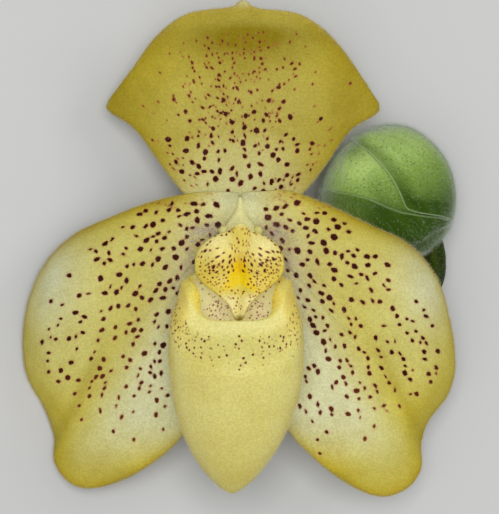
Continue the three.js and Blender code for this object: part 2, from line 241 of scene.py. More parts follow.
def downOn(name, skin, place, seed, count, length, width, lean, where):
    # Down: one three-sided spike a hair. Roots are drawn over the rows with the chance `where`,
    # and a hair points along the normal, leaned by a random side step.
    rng = np.random.default_rng(seed)
    rows = skin["rows"]
    step = np.linalg.norm(np.roll(rows, -1, 1) - rows, axis=-1)
    step = step * np.linalg.norm(np.gradient(rows, axis=0), axis=-1)
    chance = (where * step * (place(rows)[..., 2] > hair["clear"])).ravel()
    roots = rng.choice(chance.size, count, p=chance / chance.sum())
    row, column = np.divmod(roots, rows.shape[1])
    beside = (column + 1) % rows.shape[1]
    above = np.minimum(row + 1, rows.shape[0] - 1)
    a, b = rng.uniform(0, 1, (2, count, 1))
    at = rows[row, column] * (1 - a - b + a * b) + rows[row, beside] * (a - a * b)
    at = at + rows[above, column] * (b - a * b) + rows[above, beside] * (a * b)
    normal = skinNormals(rows)[row, column]
    heading = unit(normal + lean * rng.normal(0, 1, (count, 3)) * hair["spread"])
    sunk = hair["rise"] - (heading * normal).sum(-1, keepdims=True)
    heading = unit(heading + normal * np.maximum(sunk, 0))
    side = unit(np.cross(heading, rng.normal(0, 1, (count, 3))))
    size = rng.uniform(length[0], length[1], (count, 1))
    ring = width * ringOf(np.radians([0, 120, 240]), side, np.cross(heading, side))
    foot = at[:, None] + ring - hair["root"] * normal[:, None]
    placed = place(np.concatenate([foot, (at + heading * size)[:, None]], 1).reshape(-1, 3))
    placed[:, 2] = np.maximum(placed[:, 2], hair["lowest"])
    corners = np.array([[0, 1, 3], [1, 2, 3], [2, 0, 3], [0, 2, 1]])
    sides = (4 * np.arange(count)[:, None, None] + corners).reshape(-1, 3)
    tip = np.tile([0.0, 0.0, 0.0, 1.0], count)
    return makeMesh(name, placed, np.zeros((0, 4), int), sides, {"tip": tip})


# Spots

spotting = {
    "halves": (0.66, 1.16), "flats": (0.52, 0.9),  # a vein spot's half length and width, as shares
    "waver": 0.12, "turn": 0.5,  # mm that it strays, and radians that it turns
    "steps": (0.55, 0.95), "pauses": (0.3, 1.3), "start": 1.5,  # in gaps: between spots, runs and at first
    "clear": 1.2, "tries": 60, "aim": 0.25,  # room between spots, tries for each strewn one, and its turn
    "back": 0.12,  # mm that spots are smaller on the back of a blade
}


def shareOf(blade, x, y):  # how far out a flat point lies, 0 at the centre and 1 on the outline
    margin = outlineCurve(blade["outline"], 720) - blade["centre"]
    bearing = np.arctan2(margin[:, 1], margin[:, 0])
    order = np.argsort(bearing)
    reach = np.interp(np.arctan2(y - blade["centre"][1], x - blade["centre"][0]), bearing[order],
                      np.linalg.norm(margin, axis=1)[order], period=2 * np.pi)
    return np.hypot(x - blade["centre"][0], y - blade["centre"][1]) / reach


def spotDepth(x, y, spots):  # (1 - elliptic radius) * half width, the most of all spots: over 0 inside one
    depth = np.full(x.shape, -1.0)
    for atX, atY, halfLong, halfWide, heading in spots:
        along = (x - atX) * np.cos(heading) + (y - atY) * np.sin(heading)
        across = (y - atY) * np.cos(heading) - (x - atX) * np.sin(heading)
        depth = np.maximum(depth, (1 - np.hypot(along / halfLong, across / halfWide)) * halfWide)
    return depth


def isClear(spots, x, y, half):
    return all(np.hypot(x - spot[0], y - spot[1]) > spotting["clear"] * (half + spot[2]) for spot in spots)


def veinSpots(fan, keepAt):
    # Spots in short runs along veins that fan out from the base at even bearings. A vein turns by bend
    # degrees a mm for each degree off the bearing `towards`. half times fade is a spot's half length at a
    # distance, keepAt the chance that it shows at (x, y), and stray how many mm a run lies off its vein.
    rng = np.random.default_rng(fan["seed"])
    spots = []
    for bearing in np.arange(*fan["bearings"]):
        distance = fan["reach"][0] + rng.uniform(0, spotting["start"] * fan["gap"])
        while distance < fan["reach"][1]:
            off = rng.normal(0, fan["stray"]) / distance
            for _ in range(rng.integers(1, 4)):
                angle = np.radians(bearing + (fan["towards"] - bearing) * fan["bend"] * distance) + off
                x = fan["base"][0] + distance * np.cos(angle) + rng.normal(0, spotting["waver"])
                y = fan["base"][1] + distance * np.sin(angle) + rng.normal(0, spotting["waver"])
                half = fan["half"] * np.interp(distance, *fan["fade"]) * rng.uniform(*spotting["halves"])
                if rng.uniform() < keepAt(x, y) and isClear(spots, x, y, half):
                    wide = half * rng.uniform(*spotting["flats"])
                    spots.append((x, y, half, wide, angle + rng.normal(0, spotting["turn"])))
                distance += fan["gap"] * rng.uniform(*spotting["steps"])
            distance += fan["gap"] * rng.uniform(*spotting["pauses"])
    return spots


def strewnSpots(keepAt, seed, count, low, high, halves, longer=1.4, centre=None):
    # Spots strewn over a rectangle with the chance keepAt, clear of each other. Each is up to `longer` times
    # as long as wide, any way round, or away from `centre` if there is one.
    rng = np.random.default_rng(seed)
    spots = []
    for _ in range(spotting["tries"] * count):
        x, y = rng.uniform(low, high)
        half = rng.uniform(*halves)
        if len(spots) < count and rng.uniform() < keepAt(x, y) and isClear(spots, x, y, half):
            heading = rng.uniform(0, np.pi)
            if centre is not None:
                heading = np.arctan2(y - centre[1], x - centre[0]) + rng.normal(0, spotting["aim"])
            spots.append((x, y, half, half / rng.uniform(0.6 + 0.4 * longer, longer), heading))
    return spots


# Node helpers

def tone(red, green, blue):  # a colour given as on a screen, 0 to 255, made linear
    share = np.array([red, green, blue]) / 255
    linear = np.where(share <= 0.04045, share / 12.92, ((share + 0.055) / 1.055) ** 2.4)
    return (*linear.tolist(), 1.0)


def put(tree, kind, inputs=None, **settings):  # adds a node, sets it and links or fills its inputs
    made = tree.nodes.new(kind)
    for key, value in settings.items():
        setattr(made, key, value)
    for key, value in (inputs or {}).items():
        if isinstance(value, bpy.types.NodeSocket):
            tree.links.new(value, made.inputs[key])
        else:
            made.inputs[key].default_value = value
    return made


def field(tree, name):
    return put(tree, "ShaderNodeAttribute", attribute_name=name).outputs["Fac"]


def position(tree):
    return put(tree, "ShaderNodeTexCoord").outputs["Object"]


def blend(tree, factor, first, second, mode="MIX"):
    made = put(tree, "ShaderNodeMix", {0: factor, 6: first, 7: second}, data_type="RGBA", blend_type=mode)
    return made.outputs[2]


def span(tree, value, low, high, toLow=0.0, toHigh=1.0):
    inputs = {"Value": value, "From Min": low, "From Max": high, "To Min": toLow, "To Max": toHigh}
    return put(tree, "ShaderNodeMapRange", inputs, interpolation_type="SMOOTHSTEP").outputs["Result"]


def combine(tree, kind, first, second):
    return put(tree, "ShaderNodeMath", {0: first, 1: second}, operation=kind).outputs[0]


def noise(tree, at, scale, detail=3.0, rough=0.55):
    inputs = {"Vector": at, "Scale": scale, "Detail": detail, "Roughness": rough}
    return put(tree, "ShaderNodeTexNoise", inputs).outputs["Fac"]


def newGroup(name, inputs, outputs):  # a node group with a position, float inputs and float outputs
    group = bpy.data.node_groups.new(name, "ShaderNodeTree")
    group.interface.new_socket("Position", in_out="INPUT", socket_type="NodeSocketVector")
    for socket in inputs:
        group.interface.new_socket(socket, in_out="INPUT", socket_type="NodeSocketFloat")
    for socket in outputs:
        group.interface.new_socket(socket, in_out="OUTPUT", socket_type="NodeSocketFloat")
    return group, put(group, "NodeGroupInput").outputs, put(group, "NodeGroupOutput").inputs


def useGroup(tree, group, **inputs):
    return put(tree, "ShaderNodeGroup", {"Position": position(tree), **inputs}, node_tree=group).outputs


def makeInkGroup():  # spots: ink where the depth is over 0, ragged by fine noise, and a wider stain round it
    group, given, out = newGroup("inkSpots", ("Depth", "Ragged", "Stain"), ("Ink", "Stain"))
    rag = combine(group, "SUBTRACT", noise(group, given["Position"], 2600.0), 0.5)
    depth = combine(group, "ADD", given["Depth"], combine(group, "MULTIPLY", rag, given["Ragged"]))
    group.links.new(span(group, depth, -0.05, 0.06), out["Ink"])
    group.links.new(span(group, depth, combine(group, "MULTIPLY", given["Stain"], -1.0), 0.05), out["Stain"])
    return group


def makeCellGroup():  # plump surface cells: small rounded voronoi bumps over a slow mottle, and a fine grain
    group, given, out = newGroup("waxyCells", ("Cells",), ("Height", "Mottle", "Grain"))
    inputs = {"Vector": given["Position"], "Scale": given["Cells"]}
    cells = put(group, "ShaderNodeTexVoronoi", inputs, feature="SMOOTH_F1")
    cells.inputs["Smoothness"].default_value = 0.6
    bumps = span(group, cells.outputs["Distance"], 0.7, 0.0)
    group.links.new(combine(group, "ADD", bumps, noise(group, given["Position"], 900.0)), out["Height"])
    group.links.new(noise(group, given["Position"], 260.0, 4.0, 0.6), out["Mottle"])
    group.links.new(span(group, noise(group, given["Position"], 3300.0, 2.0, 0.7), 0.3, 0.7), out["Grain"])
    return group


inkSpots = makeInkGroup()
waxyCells = makeCellGroup()


# Materials. A tissue's light spreads under its skin by `spread`, as far as `reach` metres. A layer lays its
# tone over the base where the field of its name is 1. One with numbers shows in flecks of noise alone: scale,
# detail, from, to and most, and all over if its name is "". Cells have a scale, a height in metres, the tone
# of their mottle and a roughness.

waxy = {"radius": (1.0, 0.8, 0.35), "grain": 0.1, "mottle": 0.35, "sheenSwing": 0.07, "bump": 0.6}

tissues = {
    "petal": {
        "spread": 0.16, "reach": 0.001, "gloss": 0.12,
        "base": tone(212, 204, 118),
        # The third layer is partly the blade's own dull yellow-green and partly painted shade, in the petals'
        # creases and on the dorsal sepal under its hood and on its wings. The fourth is partly its own cream
        # and partly a painted highlight on the petals' shoulders.
        "layers": [("flush", tone(205, 188, 66)), ("margin", tone(190, 166, 36)),
                   ("oliveAndShade", tone(152, 134, 24)), ("pale", tone(220, 221, 184)),
                   ("vein", tone(182, 168, 84)), ("dusk", tone(188, 174, 152), 900.0, 3.0, 0.2, 0.6, 1.0)],
        "spots": {"ragged": 0.3, "width": 0.2, "share": 0.5},
        "stain": tone(184, 88, 66), "ink": tone(54, 6, 0), "faintInk": tone(112, 52, 22),
        "cells": (4200.0, 0.00006, tone(226, 216, 170), 0.55),
    },
    "lip": {
        "spread": 0.8, "reach": 0.0026, "coat": 0.06,
        "base": tone(216, 210, 136),
        "layers": [("flank", tone(206, 193, 92)), ("toe", tone(190, 183, 104)),
                   ("rim", tone(236, 226, 156)), ("hollow", tone(252, 240, 198)),
                   ("blush", tone(246, 226, 200)), ("ear", tone(238, 212, 84))],
        "spots": {"ragged": 0.08, "width": 0.12, "share": 0.35},
        "stain": tone(184, 96, 60), "ink": tone(80, 14, 18),
        "cells": (5200.0, 0.00004, tone(236, 228, 190), 0.42),
        "glow": tone(94, 98, 88),  # painted light: the hollow glows, as if lit through its walls
    },
    "staminode": {
        "spread": 0.12, "reach": 0.0008, "coat": 0.08,
        "base": tone(222, 202, 84),
        # The first layer is a painted highlight on the upper part of the lobes.
        "layers": [("lobeHighlight", tone(250, 236, 158)), ("edge", tone(216, 204, 96)),
                   ("low", tone(236, 226, 160)), ("blotch", tone(234, 204, 0)),
                   ("heart", tone(228, 170, 0)), ("tipMark", tone(124, 106, 40))],
        "spots": {"ragged": 0.08, "width": 0.12, "share": 0.45},
        "stain": tone(206, 96, 50), "ink": tone(72, 8, 4),
        "cells": (6500.0, 0.00004, tone(244, 236, 190), 0.34),
    },
    "column": {
        "spread": 0.25, "reach": 0.0015, "coat": 0.1,
        "base": tone(240, 236, 172), "layers": [("green", tone(214, 204, 124))],
        "cells": (5000.0, 0.00004, tone(240, 234, 200), 0.4),
    },
    "bud": {
        "spread": 0.12, "reach": 0.001, "gloss": 0.12,
        "base": tone(130, 160, 66),
        # Painted light and a painted highlight on top, painted shade below and beside the seams, and pale
        # down with a painted sheen round the sides, over flecks, veins and pale edges.
        "layers": [("bright", tone(176, 203, 114)), ("", tone(168, 192, 132), 3400.0, 2.0, 0.5, 0.66, 0.5),
                   ("paintedShade", tone(48, 76, 2)), ("vein", tone(92, 126, 32)),
                   ("", tone(42, 66, 12), 2700.0, 2.0, 0.42, 0.32, 0.5),
                   ("edge", tone(180, 204, 148)), ("downAndSheen", tone(222, 232, 212))],
        "cells": (5200.0, 0.00005, tone(214, 226, 190), 0.5),
    },
    "stalk": {
        "spread": 0.08, "reach": 0.0008, "gloss": 0.12,
        "base": tone(56, 74, 8),
        "layers": [("rib", tone(34, 50, 4)), ("", tone(70, 44, 30), 1500.0, 3.0, 0.5, 0.7, 0.35),
                   ("cut", tone(196, 200, 150))],
        "cells": (4000.0, 0.00006, tone(206, 216, 180), 0.55),
    },
}


def newMaterial(name, sockets):  # a Principled material with values on the shader's own sockets
    material = bpy.data.materials.new(name)
    material.use_nodes = True
    shader = material.node_tree.nodes["Principled BSDF"]
    for socket, value in sockets.items():
        shader.inputs[socket].default_value = value
    return material, material.node_tree, shader


def layered(tree, tissue):
    colour = tissue["base"]
    for name, laid, *flecks in tissue["layers"]:
        share = field(tree, name) if name else 1.0
        if flecks:
            scale, detail, low, high, most = flecks
            fleck = span(tree, noise(tree, position(tree), scale, detail), low, high, 0.0, most)
            share = combine(tree, "MULTIPLY", fleck, share)
        colour = blend(tree, share, colour, laid)
    return colour


def useSpots(tree, tissue, colour):  # ink with a stain round it, fainter where the field "faint" says so
    spots = tissue["spots"]
    made = useGroup(tree, inkSpots, Depth=field(tree, "spot"), Ragged=spots["ragged"], Stain=spots["width"])
    stained = blend(tree, combine(tree, "MULTIPLY", made["Stain"], spots["share"]), colour, tissue["stain"])
    ink = tissue["ink"]
    if "faintInk" in tissue:
        ink = blend(tree, field(tree, "faint"), ink, tissue["faintInk"])
    return blend(tree, made["Ink"], stained, ink)


def useCells(tree, shader, colour, scale, height, mottleTone, roughness):
    # Finishes a tissue: mottled and grainy colour, roughness that follows the mottle, and cell bumps.
    made = useGroup(tree, waxyCells, Cells=scale)
    patch = span(tree, made["Mottle"], 0.35, 0.7, 0.0, waxy["mottle"])
    colour = blend(tree, patch, colour, mottleTone, "MULTIPLY")
    grain, swing = waxy["grain"], waxy["sheenSwing"]
    dim, bright = (1 - grain, 1 - grain, 1 - 1.6 * grain, 1.0), (1 + grain, 1 + grain, 1 + grain, 1.0)
    light = blend(tree, made["Grain"], dim, bright)
    tree.links.new(blend(tree, 1.0, colour, light, "MULTIPLY"), shader.inputs["Base Color"])
    gloss = span(tree, made["Mottle"], 0.3, 0.7, roughness - swing, roughness + swing)
    tree.links.new(gloss, shader.inputs["Roughness"])
    inputs = {"Height": made["Height"], "Distance": height, "Strength": waxy["bump"]}
    tree.links.new(put(tree, "ShaderNodeBump", inputs).outputs["Normal"], shader.inputs["Normal"])


def tissueMaterial(name, tissue):
    material, tree, shader = newMaterial(name, {
        "Subsurface Weight": tissue["spread"], "Subsurface Radius": waxy["radius"],
        "Subsurface Scale": tissue["reach"], "Specular IOR Level": tissue.get("gloss", 0.3),
        "Coat Weight": tissue.get("coat", 0.0), "Coat Roughness": 0.35, "IOR": 1.42,
    })
    colour = layered(tree, tissue)
    if "spots" in tissue:
        colour = useSpots(tree, tissue, colour)
    useCells(tree, shader, colour, *tissue["cells"])
    # Painted light: an emission in the pouch's hollow that lifts its shade, as if light came through the
    # walls.
    if "glow" in tissue:
        glow = blend(tree, field(tree, "glow"), tone(0, 0, 0), tissue["glow"])
        tree.links.new(blend(tree, 1.0, glow, colour, "MULTIPLY"), shader.inputs["Emission Color"])
        shader.inputs["Emission Strength"].default_value = 1.0
    return material


hairTones = {  # at the root and at the tip
    "whiteDown": (tone(200, 206, 170), tone(240, 242, 236)),
    "marginDown": (tone(196, 174, 62), tone(232, 218, 146)),
    "yellowDown": (tone(224, 212, 150), tone(250, 246, 224)),
    "greenDown": (tone(150, 170, 124), tone(240, 244, 238)),
    "stalkDown": (tone(76, 92, 36), tone(188, 192, 166)),
    "duskyDown": (tone(110, 92, 98), tone(204, 196, 188)),
}


def downMaterial(name, root, tip):  # hairs: matt with a little sheen, and paler towards the tip
    material, tree, shader = newMaterial(name, {"Roughness": 0.6, "Sheen Weight": 0.3})
    tree.links.new(blend(tree, field(tree, "tip"), root, tip), shader.inputs["Base Color"])
    return material


materials = {key: tissueMaterial(key + "Tissue", tissue) for key, tissue in tissues.items()}
materials.update({name: downMaterial(name, *tones) for name, tones in hairTones.items()})
print("materials made:", len(materials))


def finish(piece, material, slot, *nodes):  # its material, its body and what it stands for
    piece.data.materials.append(materials[material])
    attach(piece, "root")
    if nodes:
        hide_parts(*nodes)


def dress(name, skin, place, fields, material, slot, node):  # makes the piece, gives the skin back
    finish(makeSkin(name, skin, place, fields), material, slot, node)
    print(name, "made")
    return skin


# Petals and sepals. Spots of a fan: see veinSpots. Strewn spots: seed, count, two corners, half lengths, how
# much longer than wide, and the point that they lead away from.

petals = {
    "half": 0.3, "columns": 420, "rows": 90, "backRows": 12,  # half thickness in mm, and the mesh
    "left": [[-0.12, 6.5], [-0.5, 7.1], [-3.0, 7.2], [-6.8, 7.0], [-12.2, 5.8], [-17.7, 3.7], [-22.6, 1.4],
             [-26.5, -2.3], [-28.9, -7.3], [-29.9, -13.1], [-29.2, -18.6], [-26.8, -22.9], [-25.6, -26.7],
             [-25.5, -30.1], [-23.1, -32.9], [-19.2, -33.2], [-13.7, -30.8], [-8.1, -26.2], [-5.4, -19.5],
             [-3.8, -11.0], [-2.9, -3.0], [-2.1, 2.2], [-0.4, 4.0]],
    "leftCentre": [-15.5, -12.5],
    "right": [[6.8, 7.3], [3.0, 7.3], [0.5, 7.1], [0.12, 6.5], [0.4, 4.0], [2.1, 2.2], [2.9, -3.0],
              [3.7, -11.0], [5.0, -19.7], [6.8, -25.5], [13.0, -31.4], [18.6, -34.4], [22.5, -33.7],
              [24.8, -31.1], [24.9, -27.4], [26.0, -24.2], [28.7, -20.6], [29.6, -16.5], [28.9, -11.0],
              [27.0, -4.8], [23.1, 0.0], [17.6, 2.7], [12.2, 5.3]],
    "rightCentre": [15.5, -13.0],
    "lift": 0.3, "shoulder": 2.4, "droop": 0.0085, "upperRecurve": 2.2, "outerRecurve": 3.4, "crease": 0.95,
    "wave": 0.9, "frill": 0.16, "tuck": 1.05, "collar": 0.8,  # mm, but 1/mm for the droop
    "veinBase": (0, 5), "veins": 42, "ridges": 30, "ridgeHeight": 0.03, "quilt": 0.035,
    "fan": {"base": (1.0, 4.6), "bearings": (24.0, -80.0, -4.9), "towards": -75, "bend": 0.0145,
            "reach": (2.2, 34), "gap": 1.2, "half": 0.48, "fade": ([0, 100], [1, 0.1]), "stray": 0.5},
    "topDots": (26, (3, 4.5), (13, 7.6), (0.06, 0.12), 1.8, (-6, 7)),
}


def petalForm(side):
    # z = lift - droop * reach^2 + shoulder - curl of the margin - crease + wave of the lower edge + frill
    # - tuck at the top + collar round the column
    def form(x, y, share):
        out = side * x
        reach = np.maximum(0, np.hypot(out - 3, 0.9 * (y + 4)) - 7)
        shoulder = petals["shoulder"] * bell(out - 20, 9) * bell(y + 6, 9)
        recurve = petals["upperRecurve"] + petals["outerRecurve"] * smooth(out, 14, 28)
        curl = recurve * smooth(out, 4, 13) * (1 - 0.55 * smooth(-y, 20, 31)) * share**6
        crease = petals["crease"] * bell(creaseLine(out, y), 2.6) * smooth(out, 13, 21) * smooth(-y, 8, 17)
        wave = petals["wave"] * share**4 * np.sin(0.42 * (y - out) + 1) * smooth(-y, 14, 22)
        frill = petals["frill"] * share**8 * ripple(x, y, 5 + side, 1.6) * smooth(out, 5, 12)
        tuck = petals["tuck"] * smooth(y, 5.2, 7.2) * bell(out, 6)
        collar = petals["collar"] * bell(out, 1.5) * smooth(y, 3, 4.5) * (1 - smooth(y, 5.8, 7.2))
        droop = petals["droop"] * reach**2
        z = petals["lift"] - droop + shoulder - curl - crease + wave + frill - tuck + collar
        return pointsOf(x, y, z)
    return form


def creaseLine(out, y):  # distance off the crease that runs from the middle of the blade to its lower edge
    return 0.9 * (out - 20) + 0.45 * (y + 19)


def veinRidges(x, y, base, count, seed):  # 0 to 1, thin lines that fan out from the base and stray a little
    angle = np.arctan2(y - base[1], x - base[0]) + 0.03 * ripple(x, y, seed, 4.0)
    return np.abs(np.cos(angle * count)) ** 14


def duskAt(out, y, width):  # the smoky patches beside the column's neck and down the petal's inner edge
    return bell(np.hypot(0.72 * (out - 4.4), y - 1.7), width), bell(out - 6.5, 1.1) * bell(y + 2.2, 3.4)


def veinedRelief(blade, seed, veinSeed):  # a quilt that fades at the margin, and thin ridges along the veins
    def relief(x, y, share):
        quilt = blade["quilt"] * ripple(x, y, seed, 1.3) * (1 - share**10)
        return quilt + blade["ridgeHeight"] * veinRidges(x, y, blade["veinBase"], blade["ridges"], veinSeed)
    return relief


def makePetal(name, side, key):
    blade = {**petals, "outline": petals[key], "centre": petals[key + "Centre"]}

    def keepAt(spotX, spotY):
        if shareOf(blade, spotX * side, spotY) > 0.94 - 0.13 * smooth(spotX, 12, 20):
            return 0.0
        inner = smooth(-creaseLine(spotX, spotY), 2, 6) * smooth(-spotY, 17, 22)
        outer = smooth(spotX, 19, 21) * (0.15 + 0.8 * smooth(spotY, -10, -6))
        low = 0.66 * smooth(-spotY, 19.5, 25)
        return float(1 - 0.3 * inner) * (1 - outer) * (1 - low) * (0.55 + 0.45 * smooth(spotX, 2, 7))

    def topEdge(spotX, spotY):
        return float(0.9 < shareOf(blade, spotX * side, spotY) < 0.985)

    skin = bladeSkin(blade, petalForm(side), veinedRelief(petals, 11 + side, 3))
    x, y, share = skin["x"], skin["y"], skin["share"]
    out = side * x
    spots = veinSpots({**petals["fan"], "seed": 21 + side}, keepAt)
    spots += strewnSpots(topEdge, 25 + side, *petals["topDots"])
    spot = spotDepth(out, y, spots)
    front = skin["face"] >= 0
    crease = creaseLine(out, y)
    lower = smooth(-crease, 0.5, 7) * smooth(-y, 2, 13) * (1 - smooth(-y, 22, 31))
    nearBase = bell(np.hypot(out - 1, y - 5.5), 4.5)
    throat, inner = duskAt(out, y, 1.5)
    fields = {
        "spot": np.where(front, spot, spot - spotting["back"]),
        "flush": clipped(smooth(share, 0.66, 1.0) * 0.75 + 0.6 * smooth(crease, -4, 2) * smooth(-y, 14, 24)
                         + 0.25 * bell(crease - 0.5, 1.5) * smooth(-y, 6, 12)
                         + 0.16 * ripple(x, y, 9, 7.0)) * (1 - 0.5 * lower) * (1 - nearBase),
        "margin": smooth(share, 0.9, 1.0) * (0.35 + 0.65 * smooth(y, -6, 2) + 0.5 * smooth(-y, 22, 28))
        * (1 - nearBase),
        # Painted shade along the crease, where the fold lies in shade, over the blade's own dull tone in the
        # middle, along the upper margin and at the lower lobe's waist.
        "oliveAndShade": clipped(0.12 * bell(np.hypot(out - 12, y + 2), 9)
                         + 0.28 * bell(crease - 1, 0.9) * smooth(-y, 11, 17) * (1 - 0.6 * smooth(-y, 24, 30))
                         + 0.16 * smooth(share, 0.85, 1) * smooth(y, -4, 3)
                         + 0.3 * smooth(share, 0.7, 1) * bell(np.hypot(out - 24, y + 28), 4) + 0.05)
        * (1 - nearBase),
        # The blade's own cream low down, along the inner edge and at the base, and a painted highlight on the
        # outer shoulder, where it faces the light.
        "pale": clipped(0.85 * lower + 0.9 * bell(np.hypot(out - 26, 0.75 * (y + 4.5)), 4.6) + 0.75 * nearBase
                        + 0.4 * bell(out - 7.8, 2.6) * bell(y + 6, 6.5))
        * (1 - 0.55 * smooth(share, 0.84, 1.0) * (1 - nearBase)),
        "dusk": clipped(1.05 * throat + 0.6 * inner + 0.34 * bell(out - 8, 2.6) * bell(y + 5, 6)),
        "vein": 0.35 * veinRidges(x, y, petals["veinBase"], petals["veins"], 3) * (0.25 + 0.75 * ~front),
        "faint": clipped(0.7 * smooth(-y, 12, 24) + 0.25 * ripple(x, y, 17, 3.0)),
    }
    skin["out"] = out
    return dress(name, skin, fromBloom, fields, "petal", "petal", "petal_" + key)


dorsal = {
    "outline": [[0.9, 32.5], [0.1, 32.6], [-1.4, 31.8], [-7.0, 31.0], [-11.4, 28.2], [-15.0, 23.8],
                [-17.6, 20.5], [-18.3, 19.3], [-17.9, 18.3], [-14.3, 15.8], [-10.3, 10.3], [-6.6, 6.0],
                [-2.4, 3.2], [2.4, 3.2], [7.4, 6.0], [11.2, 10.3], [15.0, 15.6], [18.6, 18.0],
                [19.1, 19.0], [18.4, 20.5], [13.6, 27.0], [8.4, 30.8], [2.4, 31.7]],
    "centre": [0.3, 18], "columns": 420, "rows": 84, "backRows": 12, "half": 0.3,
    "seat": -1.9, "foot": 1.4, "lean": 1.6, "sides": 0.008, "hood": 7.7, "frill": 0.14,  # mm; sides in 1/mm
    "veinBase": (0.5, 0), "veins": 46, "ridges": 34, "ridgeHeight": 0.03, "quilt": 0.04,
    "fan": {"seed": 37, "base": (0.4, 2.2), "bearings": (20.0, 164.0, 5.0), "towards": 90, "bend": 0.009,
            "reach": (2.2, 25), "gap": 1.12, "half": 0.47, "fade": ([0, 8, 16, 25], [1.05, 0.92, 0.78, 0.5]),
            "stray": 0.8},
    "freckles": (39, 190, (-17, 8), (17, 29), (0.1, 0.24), 1.8, (0.4, -4)),
    "lowDots": (43, 40, (-14, 6), (14, 16), (0.12, 0.24), 2.2, (0.4, 0)),
}


def dorsalForm(x, y, share):  # z = seat + foot - lean - sides * x^2 + hood + frill
    lean = dorsal["lean"] * smooth(y, 2, 11)
    sides = dorsal["sides"] * x * x * smooth(y, 3, 14)
    hood = dorsal["hood"] * smooth(y, 20, 34.3) ** 1.6
    frill = dorsal["frill"] * share**8 * ripple(x, y, 31, 1.8) * smooth(y, 6, 12)
    foot = dorsal["foot"] * (1 - smooth(y, 6, 13))
    return pointsOf(x, y, dorsal["seat"] + foot - lean - sides + hood + frill)


def makeDorsal():
    def keepAt(spotX, spotY):
        inside = 1 - smooth(shareOf(dorsal, spotX, spotY), 0.86, 0.95)
        sides = 1 - 0.93 * smooth(abs(spotX + 0.4), 6.0 + 2.5 * smooth(12 - spotY, 0, 5), 11)
        low = 0.62 + 0.38 * smooth(spotY, 5, 9)
        return float(inside * sides * low * (1 - 0.45 * smooth(spotY, 14, 21)) * (spotY < 25.5))

    def lowEdge(spotX, spotY):
        return float(0.8 < shareOf(dorsal, spotX, spotY) < 0.93)

    def fineAt(spotX, spotY):  # freckles in the middle of the upper half, and a few out on the wings
        middle = bell(spotX + 0.4, 5.8) * smooth(spotY, 12, 19) * (1 - smooth(spotY, 27.5, 29))
        return float(clipped(middle + 0.02 * (shareOf(dorsal, spotX, spotY) < 0.85)))

    skin = bladeSkin(dorsal, dorsalForm, veinedRelief(dorsal, 41, 5))
    x, y, share = skin["x"], skin["y"], skin["share"]
    spots = veinSpots(dorsal["fan"], keepAt)
    spots += strewnSpots(fineAt, *dorsal["freckles"])
    spots += strewnSpots(lowEdge, *dorsal["lowDots"])
    spot = spotDepth(x, y, spots)
    front = skin["face"] >= 0
    aside = np.abs(x)
    fields = {
        "spot": np.where(front, spot, spot - spotting["back"]),
        "flush": clipped(0.3 + 0.5 * smooth(aside, 6, 16) + 0.3 * smooth(y, 18, 27)
                         + 0.15 * ripple(x, y, 12, 6.0)),
        "margin": clipped(smooth(share, 0.86, 1.0) * (0.4 + 0.4 * smooth(aside, 8, 16))),
        # Painted shade: dark under the hood's lip and on the lower wings that lean away from the light, and
        # lighter on the lip and the upper wings. Beneath it lies the sepal's own dull tone, with less of it
        # near the base.
        "oliveAndShade": clipped(0.52 + 0.32 * smooth(aside, 6, 16) * (1 - smooth(y, 21, 26))
                         + 0.2 * smooth(y, 20, 27) - 0.4 * smooth(y, 28.5, 31)
                         - 0.3 * bell(aside - 10.5, 5) * bell(y - 26, 4.5)
                         + 0.6 * bell(x - 1, 5) * bell(y - 28.3, 1.6) + 0.06 * ripple(x, y, 14, 4.0)
                         - 0.3 * (1 - smooth(np.hypot(x, 0.7 * (y - 3)), 4, 12))),
        "pale": clipped(0.44 * (1 - smooth(np.hypot(0.9 * x, 0.85 * (y - 4)), 3, 12))
                        + 0.5 * smooth(y, 31.6, 32.6)),
        "dusk": 0.35 * bell(np.hypot(x, y - 3), 3.0),
        "vein": 0.35 * veinRidges(x, y, dorsal["veinBase"], dorsal["veins"], 5) * (0.3 + 0.7 * ~front),
        "faint": clipped(0.85 * smooth(y, 16, 25) + 0.4 * smooth(aside, 7, 12) + 0.2 * ripple(x, y, 18, 2.0)),
    }
    return dress("dorsalSepal", skin, fromBloom, fields, "petal", "petal", "dorsal_sepal")


synsepal = {
    "outline": [[2.0, -2.4], [-2.0, -2.4], [-7.2, -7.0], [-9.2, -13.5], [-7.4, -20.5], [-3.6, -26.5],
                [0, -29.3], [3.6, -26.5], [7.4, -20.5], [9.2, -13.5], [7.2, -7.0]],
    "centre": [0, -15], "columns": 160, "rows": 22, "backRows": 26, "half": 0.3,
    "seat": -1.6, "rise": 0.11, "sides": 0.012, "frill": 0.1,  # mm, mm per mm, 1/mm and mm
    "dots": (53, 60, (-6, -14), (6, -3), (0.12, 0.24)),
}


def synsepalForm(x, y, share):  # z = seat + rise * (y + 2.4) - sides * x^2 + frill
    slope = synsepal["rise"] * (y + 2.4)
    frill = synsepal["frill"] * share**6 * ripple(x, y, 51, 1.8)
    return pointsOf(x, y, synsepal["seat"] + slope - synsepal["sides"] * x * x + frill)


def makeSynsepal():
    skin = bladeSkin(synsepal, synsepalForm)
    x, y, share = skin["x"], skin["y"], skin["share"]
    # two fused sepals: a keel down each half shows on the back as a pale line
    keels = bell(np.abs(x) - 3.2 * np.cos((y + 15) / 14), 0.35) * (skin["face"] < 0)
    spots = strewnSpots(lambda _, spotY: 0.5 + 0.5 * (spotY + 14) / 11, *synsepal["dots"])
    fields = {
        "spot": np.where(skin["face"] >= 0, spotDepth(x, y, spots), -1.0),
        "flush": 0.4 + 0.3 * smooth(share, 0.6, 1), "margin": 0.3 * smooth(share, 0.9, 1),
        "oliveAndShade": 0.2 + 0 * x, "pale": 0.3 + 0.4 * keels, "dusk": 0 * x, "faint": 0.5 + 0 * x,
        "vein": 0.3 * veinRidges(x, y, (0, 2), 40, 7),
    }
    return dress("synsepal", skin, fromBloom, fields, "petal", "petal", "synsepal")


# The pouch

